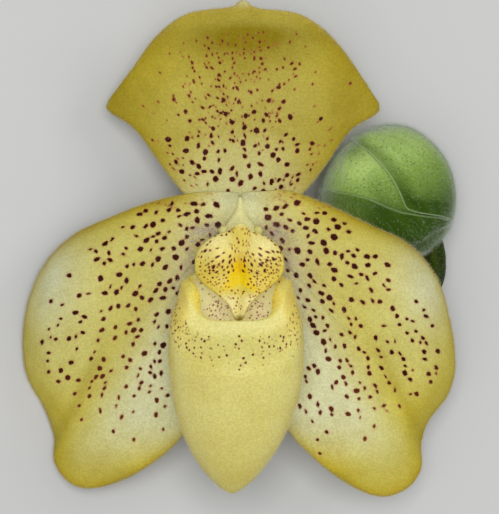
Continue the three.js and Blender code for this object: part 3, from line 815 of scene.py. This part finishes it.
pouch = {
    "tip": -33.1, "widest": -14, "halfWidth": 8.95, "halfDepth": 7.2, "toeDepth": 5.4, "bodyDepth": 9.4,
    "aside": -0.45, "toeLean": 0.04, "leanFrom": -18,  # its middle line stands to the left, its toe further
    "frontRim": -10.3, "earRim": -5.2, "backRim": -1.9, "wall": 0.85, "roll": 1.5, "crest": 0.42,
    "swell": 0.68, "shut": 0.0013, "spacing": 1.6, "unevenness": 0.05,
    "sideCurl": 0.04, "earCurl": 0.14, "frontCurl": 0.45,  # shares that the rim is drawn in
    "columns": 300, "outer": (24, 92), "rim": 12, "inner": (84, 14),  # rows below and above `dense`
    "dense": 0.7, "arc": 9,  # mm of width for each radian of turn, for the dots
    "frontDots": (63, 190, (-15, -18), (15, -4), (0.09, 0.21)),
    "backDots": (65, 190, (-8, -15), (8, -4), (0.09, 0.15), 1.2),
    "rimDots": (67, 260, (6, -12), (17, -3), (0.07, 0.13)),
}


def pouchRim(angle):
    toEar = smooth(angle, np.radians(15), np.radians(100)) ** 1.3
    toBack = smooth(angle, np.radians(100), np.radians(180))
    front, ear, back = pouch["frontRim"], pouch["earRim"], pouch["backRim"]
    return front + (ear - front) * toEar + (back - ear) * toBack


def pouchPoint(turn, rise, inset):
    # An upright egg of oval sections, x = width * sin(turn) and z = depth + thickness * cos(turn), that
    # swells by (1 - (1 - t)^2)^swell from the toe to its widest height, draws in above it and curls in at
    # the rim. y goes from the tip to the rim by rise^spacing, and below `leanFrom` the middle leans left.
    angle = np.abs(signed(turn))
    tip = pouch["tip"] + inset
    y = tip + (pouchRim(angle) - tip) * rise ** pouch["spacing"]
    full = 1 - (1 - clipped((y - tip) / (pouch["widest"] - tip))) ** 2
    swell = np.maximum(full, 0) ** pouch["swell"]
    shut = 1 - pouch["shut"] * np.maximum(0, y - pouch["widest"]) ** 2
    ear = pouch["earCurl"] * bell(angle - np.radians(70), np.radians(25))
    curlSide = (pouch["sideCurl"] + ear) * smooth(rise, 0.88, 1)
    front = 1 - smooth(angle, np.radians(40), np.radians(95))
    curlFront = pouch["frontCurl"] * front * smooth(rise, 0.8, 1)
    middleX = pouch["aside"] - pouch["toeLean"] * np.maximum(0, pouch["leanFrom"] - y)
    toBody = smooth(y, pouch["tip"], pouch["widest"])
    depth = pouch["toeDepth"] + (pouch["bodyDepth"] - pouch["toeDepth"]) * toBody
    x = middleX + (pouch["halfWidth"] - inset) * swell * shut * np.sin(turn) * (1 - curlSide)
    z = depth + (pouch["halfDepth"] - inset) * swell * np.cos(turn) * (1 - curlFront)
    return pointsOf(x, y, z)


def pouchRows():  # up the outside, over the rolled crest and down the inside, and how far up and in each is
    dense, wall = pouch["dense"], pouch["wall"]
    turn = np.linspace(0, 2 * np.pi, pouch["columns"], endpoint=False)[None, :]
    low, high = pouch["outer"]
    rise = np.concatenate([np.linspace(0, dense, low)[1:], np.linspace(dense, 1, high)[1:]])[:, None]
    high, low = pouch["inner"]
    riseIn = np.concatenate([np.linspace(1, dense, high)[:-1], np.linspace(dense, 0, low)[:-1]])[:, None]
    arc = np.linspace(0, np.pi, pouch["rim"] + 2)[1:-1, None]
    thick = wall + pouch["roll"] * bell(np.abs((turn + np.pi) % (2 * np.pi) - np.pi) - 1.2, 0.6)
    crest = pouchPoint(turn, np.ones((1, 1)), thick * (1 - np.cos(arc)) / 2)
    crest[..., 1] += pouch["crest"] * thick * np.sin(arc) ** 0.8
    inside = pouchPoint(turn, riseIn, wall + (thick - wall) * smooth(riseIn, 0.84, 1.0))
    rows = np.concatenate([pouchPoint(turn, rise, 0.0), crest, inside])
    rises = np.concatenate([rise, np.ones((pouch["rim"], 1)), riseIn]) + 0 * turn
    within = np.concatenate([0 * rise, (1 - np.cos(arc)) / 2, 1 + 0 * riseIn]) + 0 * turn
    return rows, np.broadcast_to(turn, rises.shape), rises, within


def makePouch():
    rows, turns, rises, within = pouchRows()
    y, angle, arcX = rows[..., 1], np.abs(signed(turns)), signed(turns) * pouch["arc"]
    uneven = pouch["unevenness"] * ripple(turns * pouch["arc"], y, 61, 2.6)
    uneven = uneven * (1 - within) * smooth(rises, 0.05, 0.3)
    rows = rows - skinNormals(rows) * uneven[..., None]
    below = pouchRim(angle) - y  # how far under the rim

    def frontChance(across, spotY):
        under = float(pouchRim(abs(across) / pouch["arc"])) - spotY
        band = float(smooth(under, 1.3, 2.2) * (1 - smooth(under, 3.6, 6.8)))
        return band * (0.45 + 0.55 * smooth(abs(across), 2, 8))

    def backChance(across, spotY):
        return float(bell(abs(across + 0.2) - 2.7, 1.2) * bell(spotY + 9.2, 1.7) + 0.05)

    front = strewnSpots(frontChance, *pouch["frontDots"])
    back = strewnSpots(backChance, *pouch["backDots"])
    rimDots = strewnSpots(lambda *_: 1.0, *pouch["rimDots"])
    spot = np.where(within < 0.5, spotDepth(arcX, y, front), -1.0)
    spot = np.where((within >= 1) & (angle > 2), spotDepth(rows[..., 0], y, back), spot)
    inEar = (within > 0.6) & (angle < 2) & (below < 4)
    spot = np.where(inEar, spotDepth(np.abs(arcX), y, rimDots), spot)
    toSide = smooth(angle, 0.6, 1.2)
    innerEar = (smooth(within, 0.4, 0.8) * (0.3 + 0.7 * smooth(angle, 0.6, 1.1))
                * (1 - smooth(angle, 1.9, 2.4)) * (1 - smooth(below, 0.3 + 2.4 * toSide, 0.9 + 4.5 * toSide)))
    fields = {
        "spot": spot,
        "flank": smooth(angle, 0.9, 1.6) * (1 - within),
        "toe": 0.85 * smooth(-y, 24, 33) * (1 - within),
        "rim": (1 - smooth(below, 0.8, 2.4)) * (1 - smooth(angle, 0.9, 1.4)) * (1 - within),
        "hollow": smooth(within, 0.55, 1.0),
        # painted light on the inside, below the rim
        "glow": (within >= 1) * smooth(below, 0.2, 2.5),
        "blush": 0.8 * (within >= 1) * (angle > 2) * bell(np.abs(rows[..., 0] + 0.2) - 2.7, 1.6)
        * bell(y + 9.2, 2.0),
        "ear": clipped(innerEar + 0.6 * bell(within - 0.4, 0.3) * (1 - smooth(angle, 0.9, 1.4))
                       + 0.5 * smooth(angle, 0.8, 1.2) * (1 - smooth(below, 1, 6)) * (1 - within)),
    }
    toe = pouchPoint(np.zeros(1), np.zeros(1), np.array([0.0, pouch["wall"]]))
    skin = {"rows": rows, "poles": toe, "angle": angle, "within": within}
    return dress("pouch", skin, fromBloom, fields, "lip", "lip", "pouch")


# The middle of the bloom

staminode = {
    "outline": [[0.1, 2.9], [-0.7, 2.5], [-1.5, 1.7], [-2.9, 1.2], [-4.4, 0.3], [-5.5, -1.0], [-5.9, -2.6],
                [-5.6, -4.1], [-4.7, -5.3], [-3.1, -6.5], [-1.5, -8.0], [-0.7, -9.8], [0.4, -9.8],
                [1.2, -8.1], [2.8, -6.5], [4.5, -5.2], [5.5, -4.0], [5.8, -2.6], [5.4, -1.0], [4.4, 0.3],
                [2.9, 1.2], [1.5, 1.7], [0.9, 2.5]],
    "centre": [0, -3], "columns": 240, "rows": 72, "backRows": 8, "half": 0.5,
    "height": 8.4, "lobes": 1.3, "neck": 0.7, "groove": 0.5, "tip": 1.5, "drop": 1.5, "quilt": 0.04,
    "bend": 0.03,  # 1/mm
    "streaks": (73, 40, (-5, -4), (5, 0.6), (0.16, 0.3), 2.4, (0, 1.2)),
    "dots": (75, 105, (-5.2, -7), (5.2, -1), (0.08, 0.17), 1.5, (0, 1)),
    "neckDots": (77, 34, (-1.4, -2.4), (1.4, 2.4), (0.1, 0.19), 2.4, (0, 6)),
    "lowDots": (79, 40, (-2.6, -9), (2.6, -6), (0.08, 0.14), 1.3),
    "edgeDots": (80, 18, (-6, -2), (6, 1.6), (0.12, 0.2), 1.8, (0, 4)),
}


def staminodeForm(x, y, share):  # z = height + lobes + neck ridge - groove + tip - drop of the neck
    lobes = staminode["lobes"] * bell(np.abs(x) - 2.9, 2.0) * bell(y + 1.6, 2.6)
    neck = staminode["neck"] * bell(x, 0.9) * smooth(y, -2, 2)
    groove = staminode["groove"] * bell(x, 0.9) * smooth(-y, 1.5, 4)
    tip = staminode["tip"] * smooth(-y, 3, 10)
    drop = staminode["drop"] * smooth(y, -1, 3) + staminode["bend"] * x * x
    return pointsOf(x, y, staminode["height"] + lobes + neck - groove + tip - drop)


def makeStaminode():
    def relief(x, y, share):
        return staminode["quilt"] * ripple(x, y, 71, 0.7) * (1 - share**8)

    def streakChance(a, b):
        far = np.hypot(a, b - 0.6)
        return float(bell(far - 3.6, 0.9) * (abs(a) > 0.7) * (b < -0.7) * (1 - smooth(-b, 2.8, 3.8)))

    def dotChance(a, b):
        far = np.hypot(a, b - 0.6)
        inBlotch = abs(a) < 1.2 and b < -1.5
        ring = smooth(far, 3.6, 4.6) * (1 - smooth(far, 6.6, 7.4)) * smooth(abs(a), 0.8, 2.6)
        return float(ring * (b < -1.6)) * (not inBlotch)

    def edgeChance(a, b):
        return float(0.88 < shareOf(staminode, a, b) < 0.97)

    skin = bladeSkin(staminode, staminodeForm, relief)
    x, y, share, front = skin["x"], skin["y"], skin["share"], skin["face"] >= 0
    spots = strewnSpots(streakChance, *staminode["streaks"])
    spots += strewnSpots(dotChance, *staminode["dots"])
    spots += strewnSpots(lambda *_: 1.0, *staminode["neckDots"])
    spots += strewnSpots(lambda *_: 0.8, *staminode["lowDots"])
    spots += strewnSpots(edgeChance, *staminode["edgeDots"])
    fan = np.maximum(0, -1.6 - y)  # the blotch widens downwards and ends in two lobes
    aside = np.abs(x)
    blotch = (smooth(fan, 0, 1) * (1 - smooth(aside - 0.36 * fan, 0.4, 1.1))
              * (1 - smooth(fan - 0.4 * aside, 3.3, 4.2)))
    fields = {
        "spot": np.where(front, spotDepth(x, y, spots), -1.0),
        # a painted highlight on the upper part of each lobe
        "lobeHighlight": clipped(1.1 * bell(np.hypot(aside - 3.2, (y - 0.5) * 0.9), 2.2) * (1 - 0.6 * bell(x, 0.8))),
        "edge": 0.6 * smooth(share, 0.86, 1.0) * (1 - 0.9 * smooth(-y, 5, 7)) + 0.5 * (1 - front),
        "low": smooth(-y, 6.1, 7.6) * (1 - 0.5 * bell(x, 0.7)) + 0.8 * smooth(y, 1.7, 2.7),
        "blotch": clipped(blotch),
        "heart": 0.6 * bell(np.hypot(x, (y + 2.6) * 0.6), 0.7),
        "tipMark": smooth(-y, 9.0, 9.7) * bell(x, 0.9),
    }
    return dress("staminode", skin, fromBloom, fields, "staminode", "staminode", "staminode")


column = {
    # z, middle y, half width, reach down, reach up
    "sections": [[-1.2, 0.3, 1.85, 1.85, 1.85], [0.5, 0.3, 1.85, 1.85, 1.85], [1.1, 0.3, 2.1, 1.9, 7.0],
                 [1.8, 0.4, 2.6, 1.9, 5.3], [3.2, 0.5, 3.0, 2.0, 3.4], [4.6, 0.0, 2.5, 2.2, 2.6],
                 [6.0, -0.8, 2.1, 2.0, 2.0], [7.4, -1.6, 1.6, 1.4, 1.4]],
    "columns": 112, "rows": 90, "easing": 15, "endRows": 6.0,  # rows of easing, and rows that close an end
    "narrow": 0.72, "unevenness": 0.05,
}


def makeColumn():
    # Sections across z, each an oval whose upper half is drawn in to a ridge, eased into each other.
    table = np.array(column["sections"])
    z = np.linspace(table[0, 0], table[-1, 0], column["rows"])
    kernel = np.hanning(column["easing"]) / np.hanning(column["easing"]).sum()
    padded = np.pad(lookUp(z, table[:, 0], table[:, 1:]), ((len(kernel) // 2,) * 2, (0, 0)), mode="edge")
    middleY, halfWidth, down, up = (np.convolve(part, kernel, "valid")[:, None] for part in padded.T)
    turn = np.linspace(0, 2 * np.pi, column["columns"], endpoint=False)[None, :]
    lift = np.sin(turn)
    narrow = 1 - column["narrow"] * np.maximum(lift, 0) * clipped((up - down) / 3)
    fromEnd = np.minimum(np.arange(len(z)), np.arange(len(z))[::-1])
    ends = np.sqrt(np.clip(fromEnd / column["endRows"], 0.02, 1))[:, None]
    rows = pointsOf(halfWidth * np.cos(turn) * narrow * ends,
                    middleY + np.where(lift > 0, up, down) * lift * ends, z[:, None])
    poles = np.array([[0, table[0, 1], z[0] - 0.02], [0, table[-1, 1], z[-1] + 0.02]])
    uneven = ripple(rows[..., 0] + rows[..., 2], rows[..., 1], 81, 0.8) * (ends > 0.9)
    rows = rows + skinNormals(rows) * (column["unevenness"] * uneven)[..., None]
    fields = {"green": clipped(0.8 * bell(np.abs(rows[..., 0]) - 2.6, 0.8) * smooth(rows[..., 1], 0, 1.5)
                               + 0.5 * (1 - smooth(rows[..., 2], -1, 1)))}
    return dress("column", {"rows": rows, "poles": poles}, fromBloom, fields, "column", "column", "column")


knobs = {  # centre, radii and dimple
    "antherLeft": ([-2.2, 1.9, 3.7], [0.62, 0.66, 0.7], 0.1),
    "antherRight": ([2.45, 1.9, 3.7], [0.62, 0.66, 0.7], 0.1),
    "stigma": ([0, -4.15, 4.6], [2.3, 1.6, 1.1], 0.3),
}


def makeKnob(name, node):
    # An anther or the stigma: an ellipsoid, radii * (cos * cos, cos * sin, sin), with a dimple in front.
    centre, radii, dimple = knobs[name]

    def pointAt(turn, rise):
        turn, rise = np.radians(turn), np.radians(rise)
        flat = np.cos(rise)
        z = np.sin(rise) - dimple * bell(flat, 0.45) * (rise > 0)
        return centre + np.array(radii) * pointsOf(flat * np.cos(turn), flat * np.sin(turn), z)

    skin = eggSkin(pointAt, 28, 48)
    wobble = 0.03 * ripple(skin["rows"][..., 0] * 2, skin["rows"][..., 1] * 2, 83, 0.5)
    skin["rows"] = skin["rows"] + skinNormals(skin["rows"]) * wobble[..., None]
    green = 0.6 * bell(skin["rise"] - 60, 40) if name == "stigma" else 0.8 + 0 * skin["rise"]
    return dress(name, skin, fromBloom, {"green": green}, "column", "column", node)


# The stalks and bracts, set out on the table

stalks = {
    "scape": [[1.2, -30.6, 2.3], [1.8, -26.6, 2.3], [5.2, -23.6, 2.3], [9.5, -20.6, 2.1], [13.2, -18.0, 2.0]],
    "ovary": [[1.7, -21.9, 2.7], [1.5, -14.5, 3.7], [1.0, -6.5, 5.2], [0.7, -0.9, 8.2], [0.5, 0.3, 10.2],
              [0.25, 0.3, 11.9]],
    "budOvary": [[14.5, -17.0, 2.4], [20.0, -13.4, 2.6], [25.1, -9.2, 3.1], [27.7, -4.8, 4.6],
                 [27.9, -1.7, 6.2], [27.5, 0.0, 7.1], [27.0, 1.5, 7.2]],
    "ovaryFoot": [3.1, -25.0, 2.4], "budOvaryFoot": [12.5, -18.5, 2.05],  # where they leave the scape
    "scapeRadius": 2.25, "scapeTaper": 0.18, "scapeRibs": 9, "scapeRib": 0.006,
    "ovaryRadius": 2.4, "ovaryRibs": 6, "ovaryRib": 0.05, "columns": 108, "rows": 76,
}


def ovaryRadius(along, turn):  # thickest in the middle, with rounded ribs
    radius = stalks["ovaryRadius"] * (0.78 + 0.22 * np.sin(np.pi * along))
    return radius * (1 + stalks["ovaryRib"] * np.cos(stalks["ovaryRibs"] * turn))


def scapeRadius(along, turn):
    taper = 1 - stalks["scapeTaper"] * along
    return stalks["scapeRadius"] * taper * (1 + stalks["scapeRib"] * np.cos(stalks["scapeRibs"] * turn))


def makeStalk(name, node, route, radiusAt, ribs, slot):
    skin = stemSkin(route, radiusAt, stalks["rows"], stalks["columns"])
    skin["rows"][..., 2] = np.maximum(skin["rows"][..., 2], 0.0)  # pressed flat where it lies on the table
    cutEnd = smooth(skin["cut"], 0.1, 0.6) * (skin["share"] < 0.5) * (name == "scape")
    fields = {"rib": 0.5 - 0.5 * np.cos(ribs * skin["turn"]), "cut": cutEnd}
    return dress(name, skin, fromTable, fields, "stalk", slot, node)


bract = {
    "outline": [[0.4, -2.4], [4.5, -3.6], [8.5, -2.4], [11.5, 0], [8.5, 2.4], [4.5, 3.6], [0.4, 2.4]],
    "centre": [5, 0], "columns": 132, "rows": 30, "backRows": 8, "half": 0.26,
    "clasp": 2.85, "flare": 0.05, "keel": 0.22,
}


def makeBract(name, node, route, lean):
    # A pointed scale that clasps the ovary: along the route, at clasp + flare * along from its middle line,
    # turned round it by lean + across / clasp, with a keel down its back.
    share, points, headings = routeTable(route)
    length = np.linalg.norm(np.diff(points, axis=0), axis=1).sum()

    def form(along, across, _):
        at = clipped(along / length)
        heading = unit(lookUp(at, share, headings))
        side = unit(np.cross(tableUp, heading))
        up = np.cross(heading, side)
        turn = lean + across / bract["clasp"]
        keel = bract["keel"] * bell(across, 0.5) * smooth(along, 1, 9)
        off = bract["clasp"] + bract["flare"] * along + keel
        middle = lookUp(at, share, points)
        return middle + side * (off * np.sin(turn))[..., None] + up * (off * np.cos(turn))[..., None]

    skin = bladeSkin(bract, form)
    fields = {"rib": 0.5 + 0.5 * np.cos(skin["y"] * 7), "cut": 0.5 * smooth(skin["share"], 0.9, 1.0)}
    return dress(name, skin, fromTable, fields, "stalk", "green", node)


# The bud

bud = {
    "centre": [21.5, 7.35, 7.15], "axis": [-0.66, 0.75, 0],
    "halfLength": 9.6, "halfWidth": 9.4, "halfHeight": 7.8,
    "blunt": 0.6,  # mm that the tip is shorter, and the base longer, than the half length
    "inset": 0.3, "half": 0.2, "columns": 240, "rows": 64, "backRows": 10,
    "petalInset": 0.36, "seamStep": 0.1, "seamAt": -28, "seamTurn": 0.48, "seamRise": 62,  # mm, and degrees
    "veins": 26, "veinHeight": 0.008, "plump": 0.05, "corner": 0.35, "unevenness": 0.06,
    "dorsal": [[74, 82], [30, 79], [11, 64], [8.5, 52], [6, 35], [4, 18], [1.5, 5], [-1, -5], [-4, -15],
               [-2, -21], [6, -30.5], [20, -42], [37, -52.5], [60, -61], [90, -69], [120, -72], [142, -50],
               [148, 0], [142, 50], [120, 76]],
    "dorsalCentre": [74, 0],
    "synsepal": [[-64, 41], [-91, 44], [-110, 50], [-140, 62], [-170, 70], [-192, 62], [-200, 40], [-203, 0],
                 [-199, -50], [-176, -76], [-104, -84], [-24, -83], [40, -83], [110, -82], [122, -79],
                 [90, -70.8], [60, -62.3], [37.5, -53.8], [20, -43.2], [6, -31.8], [-3, -22.0], [-8, -16],
                 [-14.5, -4.5], [-24, 13], [-40.5, 29]],
    "synsepalCentre": [-104, -30],
}


def budPoint(turn, rise, inset):
    # An egg on its side: centre + axis * (length - blunt * sin(rise)) * sin(rise) + across * width
    # * cos(rise) * sin(turn), and up by height * cos(rise) * cos(turn), cut flat on the table. Turn and
    # rise are in degrees.
    turn, rise = np.broadcast_arrays(np.radians(turn), np.radians(rise))
    axis = unit(np.array(bud["axis"], float))
    across = -np.cross(tableUp, axis)
    length = bud["halfLength"] - inset - bud["blunt"] * np.sin(rise)
    point = np.array(bud["centre"]) + axis * (length * np.sin(rise))[..., None]
    point = point + across * ((bud["halfWidth"] - inset) * np.cos(rise) * np.sin(turn))[..., None]
    point[..., 2] += (bud["halfHeight"] - inset) * np.cos(rise) * np.cos(turn)
    point[..., 2] = np.maximum(point[..., 2], inset)
    return point


def budFields(skin, vein, edge, beside):  # painted light and a painted highlight on top; painted shade, a darker green, below, near the tip and beside the seams
    x, y, z = np.moveaxis(skin["rows"], -1, 0)
    # how far down and to the right, away from the light from above: painted shade grows with it, painted
    # light with its opposite
    awayFromLight = (x - 21) * 0.35 - (y - 9) * 0.95
    nearTip = bell(np.hypot(0.8 * (x - 15.9), y - 13.0), 1.2)
    paintedShade = smooth(awayFromLight, -1.5, 7.5) + 0.25 * (1 - smooth(z, 3, 9)) + beside + 0.3 * nearTip
    # a painted highlight on the upper left
    topLeftHighlight = bell(np.hypot(x - 16.6, y - 10.4), 2.2)
    bright = 0.65 * smooth(-awayFromLight, -0.5, 3.5) + 0.6 * topLeftHighlight - 0.6 * nearTip
    downAndSheen = 0.78 * bell(sideways(skin), 0.38)  # pale down round the sides, with a painted sheen where the skin faces sideways
    return {"bright": clipped(bright), "paintedShade": clipped(paintedShade), "edge": clipped(edge),
            "vein": vein, "downAndSheen": downAndSheen}


def makeBudSepal(name, node, key, seed, edge):
    blade = {**bud, "outline": bud[key], "centre": bud[key + "Centre"]}

    def form(turn, rise, share):
        return budPoint(turn, rise, bud["inset"] + 0 * share)

    def relief(turn, rise, share):  # faint long veins, a plump margin, and a full corner beside the tip
        veins = bud["veinHeight"] * np.cos(np.radians(turn) * bud["veins"]) * np.cos(np.radians(rise))
        corner = bud["corner"] * bell(turn - 34, 28) * bell(rise - 62, 16) * smooth(1 - share, 0, 0.05)
        return (veins + corner + bud["plump"] * smooth(share, 0.93, 0.985)
                + bud["unevenness"] * ripple(turn / 12, rise / 12, seed, 1.0))

    skin = bladeSkin(blade, form, relief)
    skin["rows"][..., 2] = np.maximum(skin["rows"][..., 2], 0.02)
    share = skin["share"]
    veins = 0.16 * (0.5 + 0.5 * np.cos(np.radians(skin["x"]) * bud["veins"])) ** 3
    # painted shade near the sepal's margins, beside the seams
    fields = budFields(skin, veins, edge * smooth(share, 0.975, 0.99), 0.5 * smooth(share, 0.74, 0.95))
    return dress(name, skin, fromTable, fields, "bud", "green", node)


def offSeam(turn, rise):  # degrees off the line that leans over from the seam's place at its rise
    return (turn + 180) % 360 - 180 - bud["seamAt"] + bud["seamTurn"] * (bud["seamRise"] - rise)


def makeBudPetals():
    # two petals meet in a low seam that shows near the tip
    def pointAt(turn, rise):
        away = offSeam(turn, rise)
        step = (smooth(away, -2, 2) * (1 - smooth(away, 2, 40))
                * smooth(rise, 30, 40) * (1 - smooth(rise, 64, 72)))
        return budPoint(turn, rise, bud["petalInset"] - bud["seamStep"] * step)

    skin = eggSkin(pointAt, 72, 200)
    turn, rise = (skin["turn"] + 180) % 360 - 180, skin["rise"]
    seam = bell(offSeam(turn, rise), 2.6) * smooth(rise, 34, 42) * (1 - smooth(rise, 62, 70))
    # a little painted shade in a narrow band towards the base
    fields = budFields(skin, 0 * rise, 0.6 * seam, 0.2 * bell(turn + 16 - 0.3 * rise, 8) * (rise < 30))
    return dress("budPetals", skin, fromTable, fields, "bud", "green", "bud_petals")


# Put together

leftSkin = makePetal("petalLeft", -1, "left")
rightSkin = makePetal("petalRight", 1, "right")
dorsalSkin = makeDorsal()
makeSynsepal()
pouchSkin = makePouch()
makeStaminode()
makeColumn()
makeKnob("antherLeft", "anther_left")
makeKnob("antherRight", "anther_right")
makeKnob("stigma", "stigma")
scapeSkin = makeStalk("scape", "scape", stalks["scape"], scapeRadius, stalks["scapeRibs"], "stem")
ovarySkin, budOvarySkin = (
    makeStalk(key, node, [stalks[key + "Foot"], *stalks[key]], ovaryRadius, stalks["ovaryRibs"], "green")
    for key, node in (("ovary", "ovary"), ("budOvary", "bud_ovary")))
bractSkin = makeBract("floralBract", "floral_bract", stalks["ovary"], 0.0)
budBractSkin = makeBract("budBract", "bud_bract", stalks["budOvary"], -0.9)
budDorsalSkin = makeBudSepal("budDorsalSepal", "bud_dorsal_sepal", "dorsal", 91, 0.55)
budSynsepalSkin = makeBudSepal("budSynsepal", "bud_synsepal", "synsepal", 93, 0.3)
budPetalsSkin = makeBudPetals()


# Down

down = {
    # count of hairs, length in mm from and to, width in mm and lean
    "petalEdge": (7500, (0.22, 0.5), 0.02, 0.6), "dorsalEdge": (6500, (0.22, 0.5), 0.02, 0.6),
    "bud": (12500, (0.32, 0.7), 0.013, 0.7), "budPetals": (5500, (0.3, 0.62), 0.013, 0.7),
    "pouch": (7000, (0.12, 0.32), 0.018, 0.7), "stalk": (1900, (0.2, 0.5), 0.02, 0.8),
    "bract": (900, (0.2, 0.5), 0.02, 0.8), "throat": (1500, (0.25, 0.55), 0.016, 0.8),
}


def addDown(kind, place, material, slot, rows):  # rows of piece name, skin, seed and where hairs grow
    for name, skin, seed, where in rows:
        finish(downOn(name, skin, place, seed, *down[kind], where), material, slot)


def rimOf(skin):  # 1 at the margin, with few hairs on the face
    return smooth(skin["share"], 0.965, 1.0) + 0.003


def petalRim(skin):
    return rimOf(skin) * smooth(skin["out"], 6, 11)


def budSides(skin):  # thick round the sides and thin on top
    return 0.05 + bell(sideways(skin), 0.3)


def bractRim(skin):
    return (skin["face"] > -0.5) * (0.004 + smooth(skin["share"], 0.96, 1))


def stalkBark(skin):
    return 1 - smooth(skin["cut"], 0.05, 0.3)


def throatPatch(skin):
    throat, inner = duskAt(skin["out"], skin["y"], 1.7)
    return (throat + 0.3 * inner) * (skin["face"] > 0)


pouchFlanks = bell(pouchSkin["angle"] - 1.5, 0.45) * (pouchSkin["within"] < 0.5) + 0.08
addDown("petalEdge", fromBloom, "marginDown", "petal", [
    ("petalLeftDown", leftSkin, 101, petalRim(leftSkin)),
    ("petalRightDown", rightSkin, 102, petalRim(rightSkin))])
addDown("dorsalEdge", fromBloom, "marginDown", "petal", [("dorsalDown", dorsalSkin, 103, rimOf(dorsalSkin))])
addDown("pouch", fromBloom, "yellowDown", "lip", [("pouchDown", pouchSkin, 104, pouchFlanks)])
addDown("bud", fromTable, "greenDown", "green", [
    ("budDorsalDown", budDorsalSkin, 105, (budDorsalSkin["face"] > 0) * budSides(budDorsalSkin)),
    ("budSynsepalDown", budSynsepalSkin, 106, (budSynsepalSkin["face"] > 0) * budSides(budSynsepalSkin))])
addDown("budPetals", fromTable, "greenDown", "green", [
    ("budPetalsDown", budPetalsSkin, 112, smooth(budPetalsSkin["rise"], 0, 30) * budSides(budPetalsSkin))])
addDown("stalk", fromTable, "stalkDown", "stem", [("scapeDown", scapeSkin, 107, stalkBark(scapeSkin))])
addDown("stalk", fromTable, "stalkDown", "green", [
    ("ovaryDown", ovarySkin, 108, stalkBark(ovarySkin)),
    ("budOvaryDown", budOvarySkin, 109, stalkBark(budOvarySkin))])
addDown("bract", fromTable, "whiteDown", "green", [
    ("bractDown", bractSkin, 110, bractRim(bractSkin)),
    ("budBractDown", budBractSkin, 111, bractRim(budBractSkin))])
addDown("throat", fromBloom, "duskyDown", "petal", [
    ("throatLeftDown", leftSkin, 113, throatPatch(leftSkin)),
    ("throatRightDown", rightSkin, 114, throatPatch(rightSkin))])
print("down made")


# Table, lights and camera

studio = {
    "floor": tone(204, 204, 203), "floorReach": 3,  # metres
    "world": tone(228, 229, 231), "worldStrength": 0.42,
    "key": (2.4, (-0.09, 0.07, 0.72), 0.32), "fill": (0.95, (-0.2, -0.2, 0.68), 0.6),  # power, place and size
    "rim": (0.7, (0.45, 0.2, 0.45), 0.3), "lightsAimAt": (0, 0, 0.01),
    "cameraAt": (1.2825, -1.62, 380.0), "viewHeight": 69.39, "sensor": 36.0,  # mm, in the bloom's frame
}


def addLight(name, power, at, size):
    light = bpy.data.lights.new(name, "AREA")
    light.energy = power
    light.size = size
    lamp = bpy.data.objects.new(name, light)
    lamp.location = at
    lamp.rotation_euler = (Vector(studio["lightsAimAt"]) - Vector(at)).to_track_quat("-Z", "Y").to_euler()
    bpy.context.scene.collection.objects.link(lamp)


def makeStudio():
    corners = np.array([[-1, -1, 0], [1, -1, 0], [1, 1, 0], [-1, 1, 0]]) * float(studio["floorReach"])
    floor = makeMesh("table", corners, np.array([[0, 1, 2, 3]]), np.zeros((0, 3), int), {})
    floor.data.materials.append(newMaterial("table", {"Base Color": studio["floor"], "Roughness": 0.8})[0])
    world = bpy.data.worlds.new("studio")
    world.use_nodes = True
    background = world.node_tree.nodes["Background"].inputs
    background["Color"].default_value = studio["world"]
    background["Strength"].default_value = studio["worldStrength"]
    bpy.context.scene.world = world
    for name in ("key", "fill", "rim"):
        addLight(name + "Light", *studio[name])


def makeCamera():
    bpy.context.scene.view_settings.view_transform = "Standard"  # petals keep their clear yellow
    lens = bpy.data.cameras.new("camera")
    lens.sensor_width = studio["sensor"]
    lens.lens = studio["sensor"] * studio["cameraAt"][2] / studio["viewHeight"]
    lens.clip_start, lens.clip_end = 0.01, 20.0
    camera = bpy.data.objects.new("camera", lens)
    place = Matrix.Rotation(np.radians(lie["tilt"]), 4, "Y")
    place.translation = Vector(fromBloom(studio["cameraAt"]).tolist())
    camera.matrix_world = place
    bpy.context.scene.collection.objects.link(camera)
    bpy.context.scene.camera = camera


makeStudio()
makeCamera()
print("studio made")
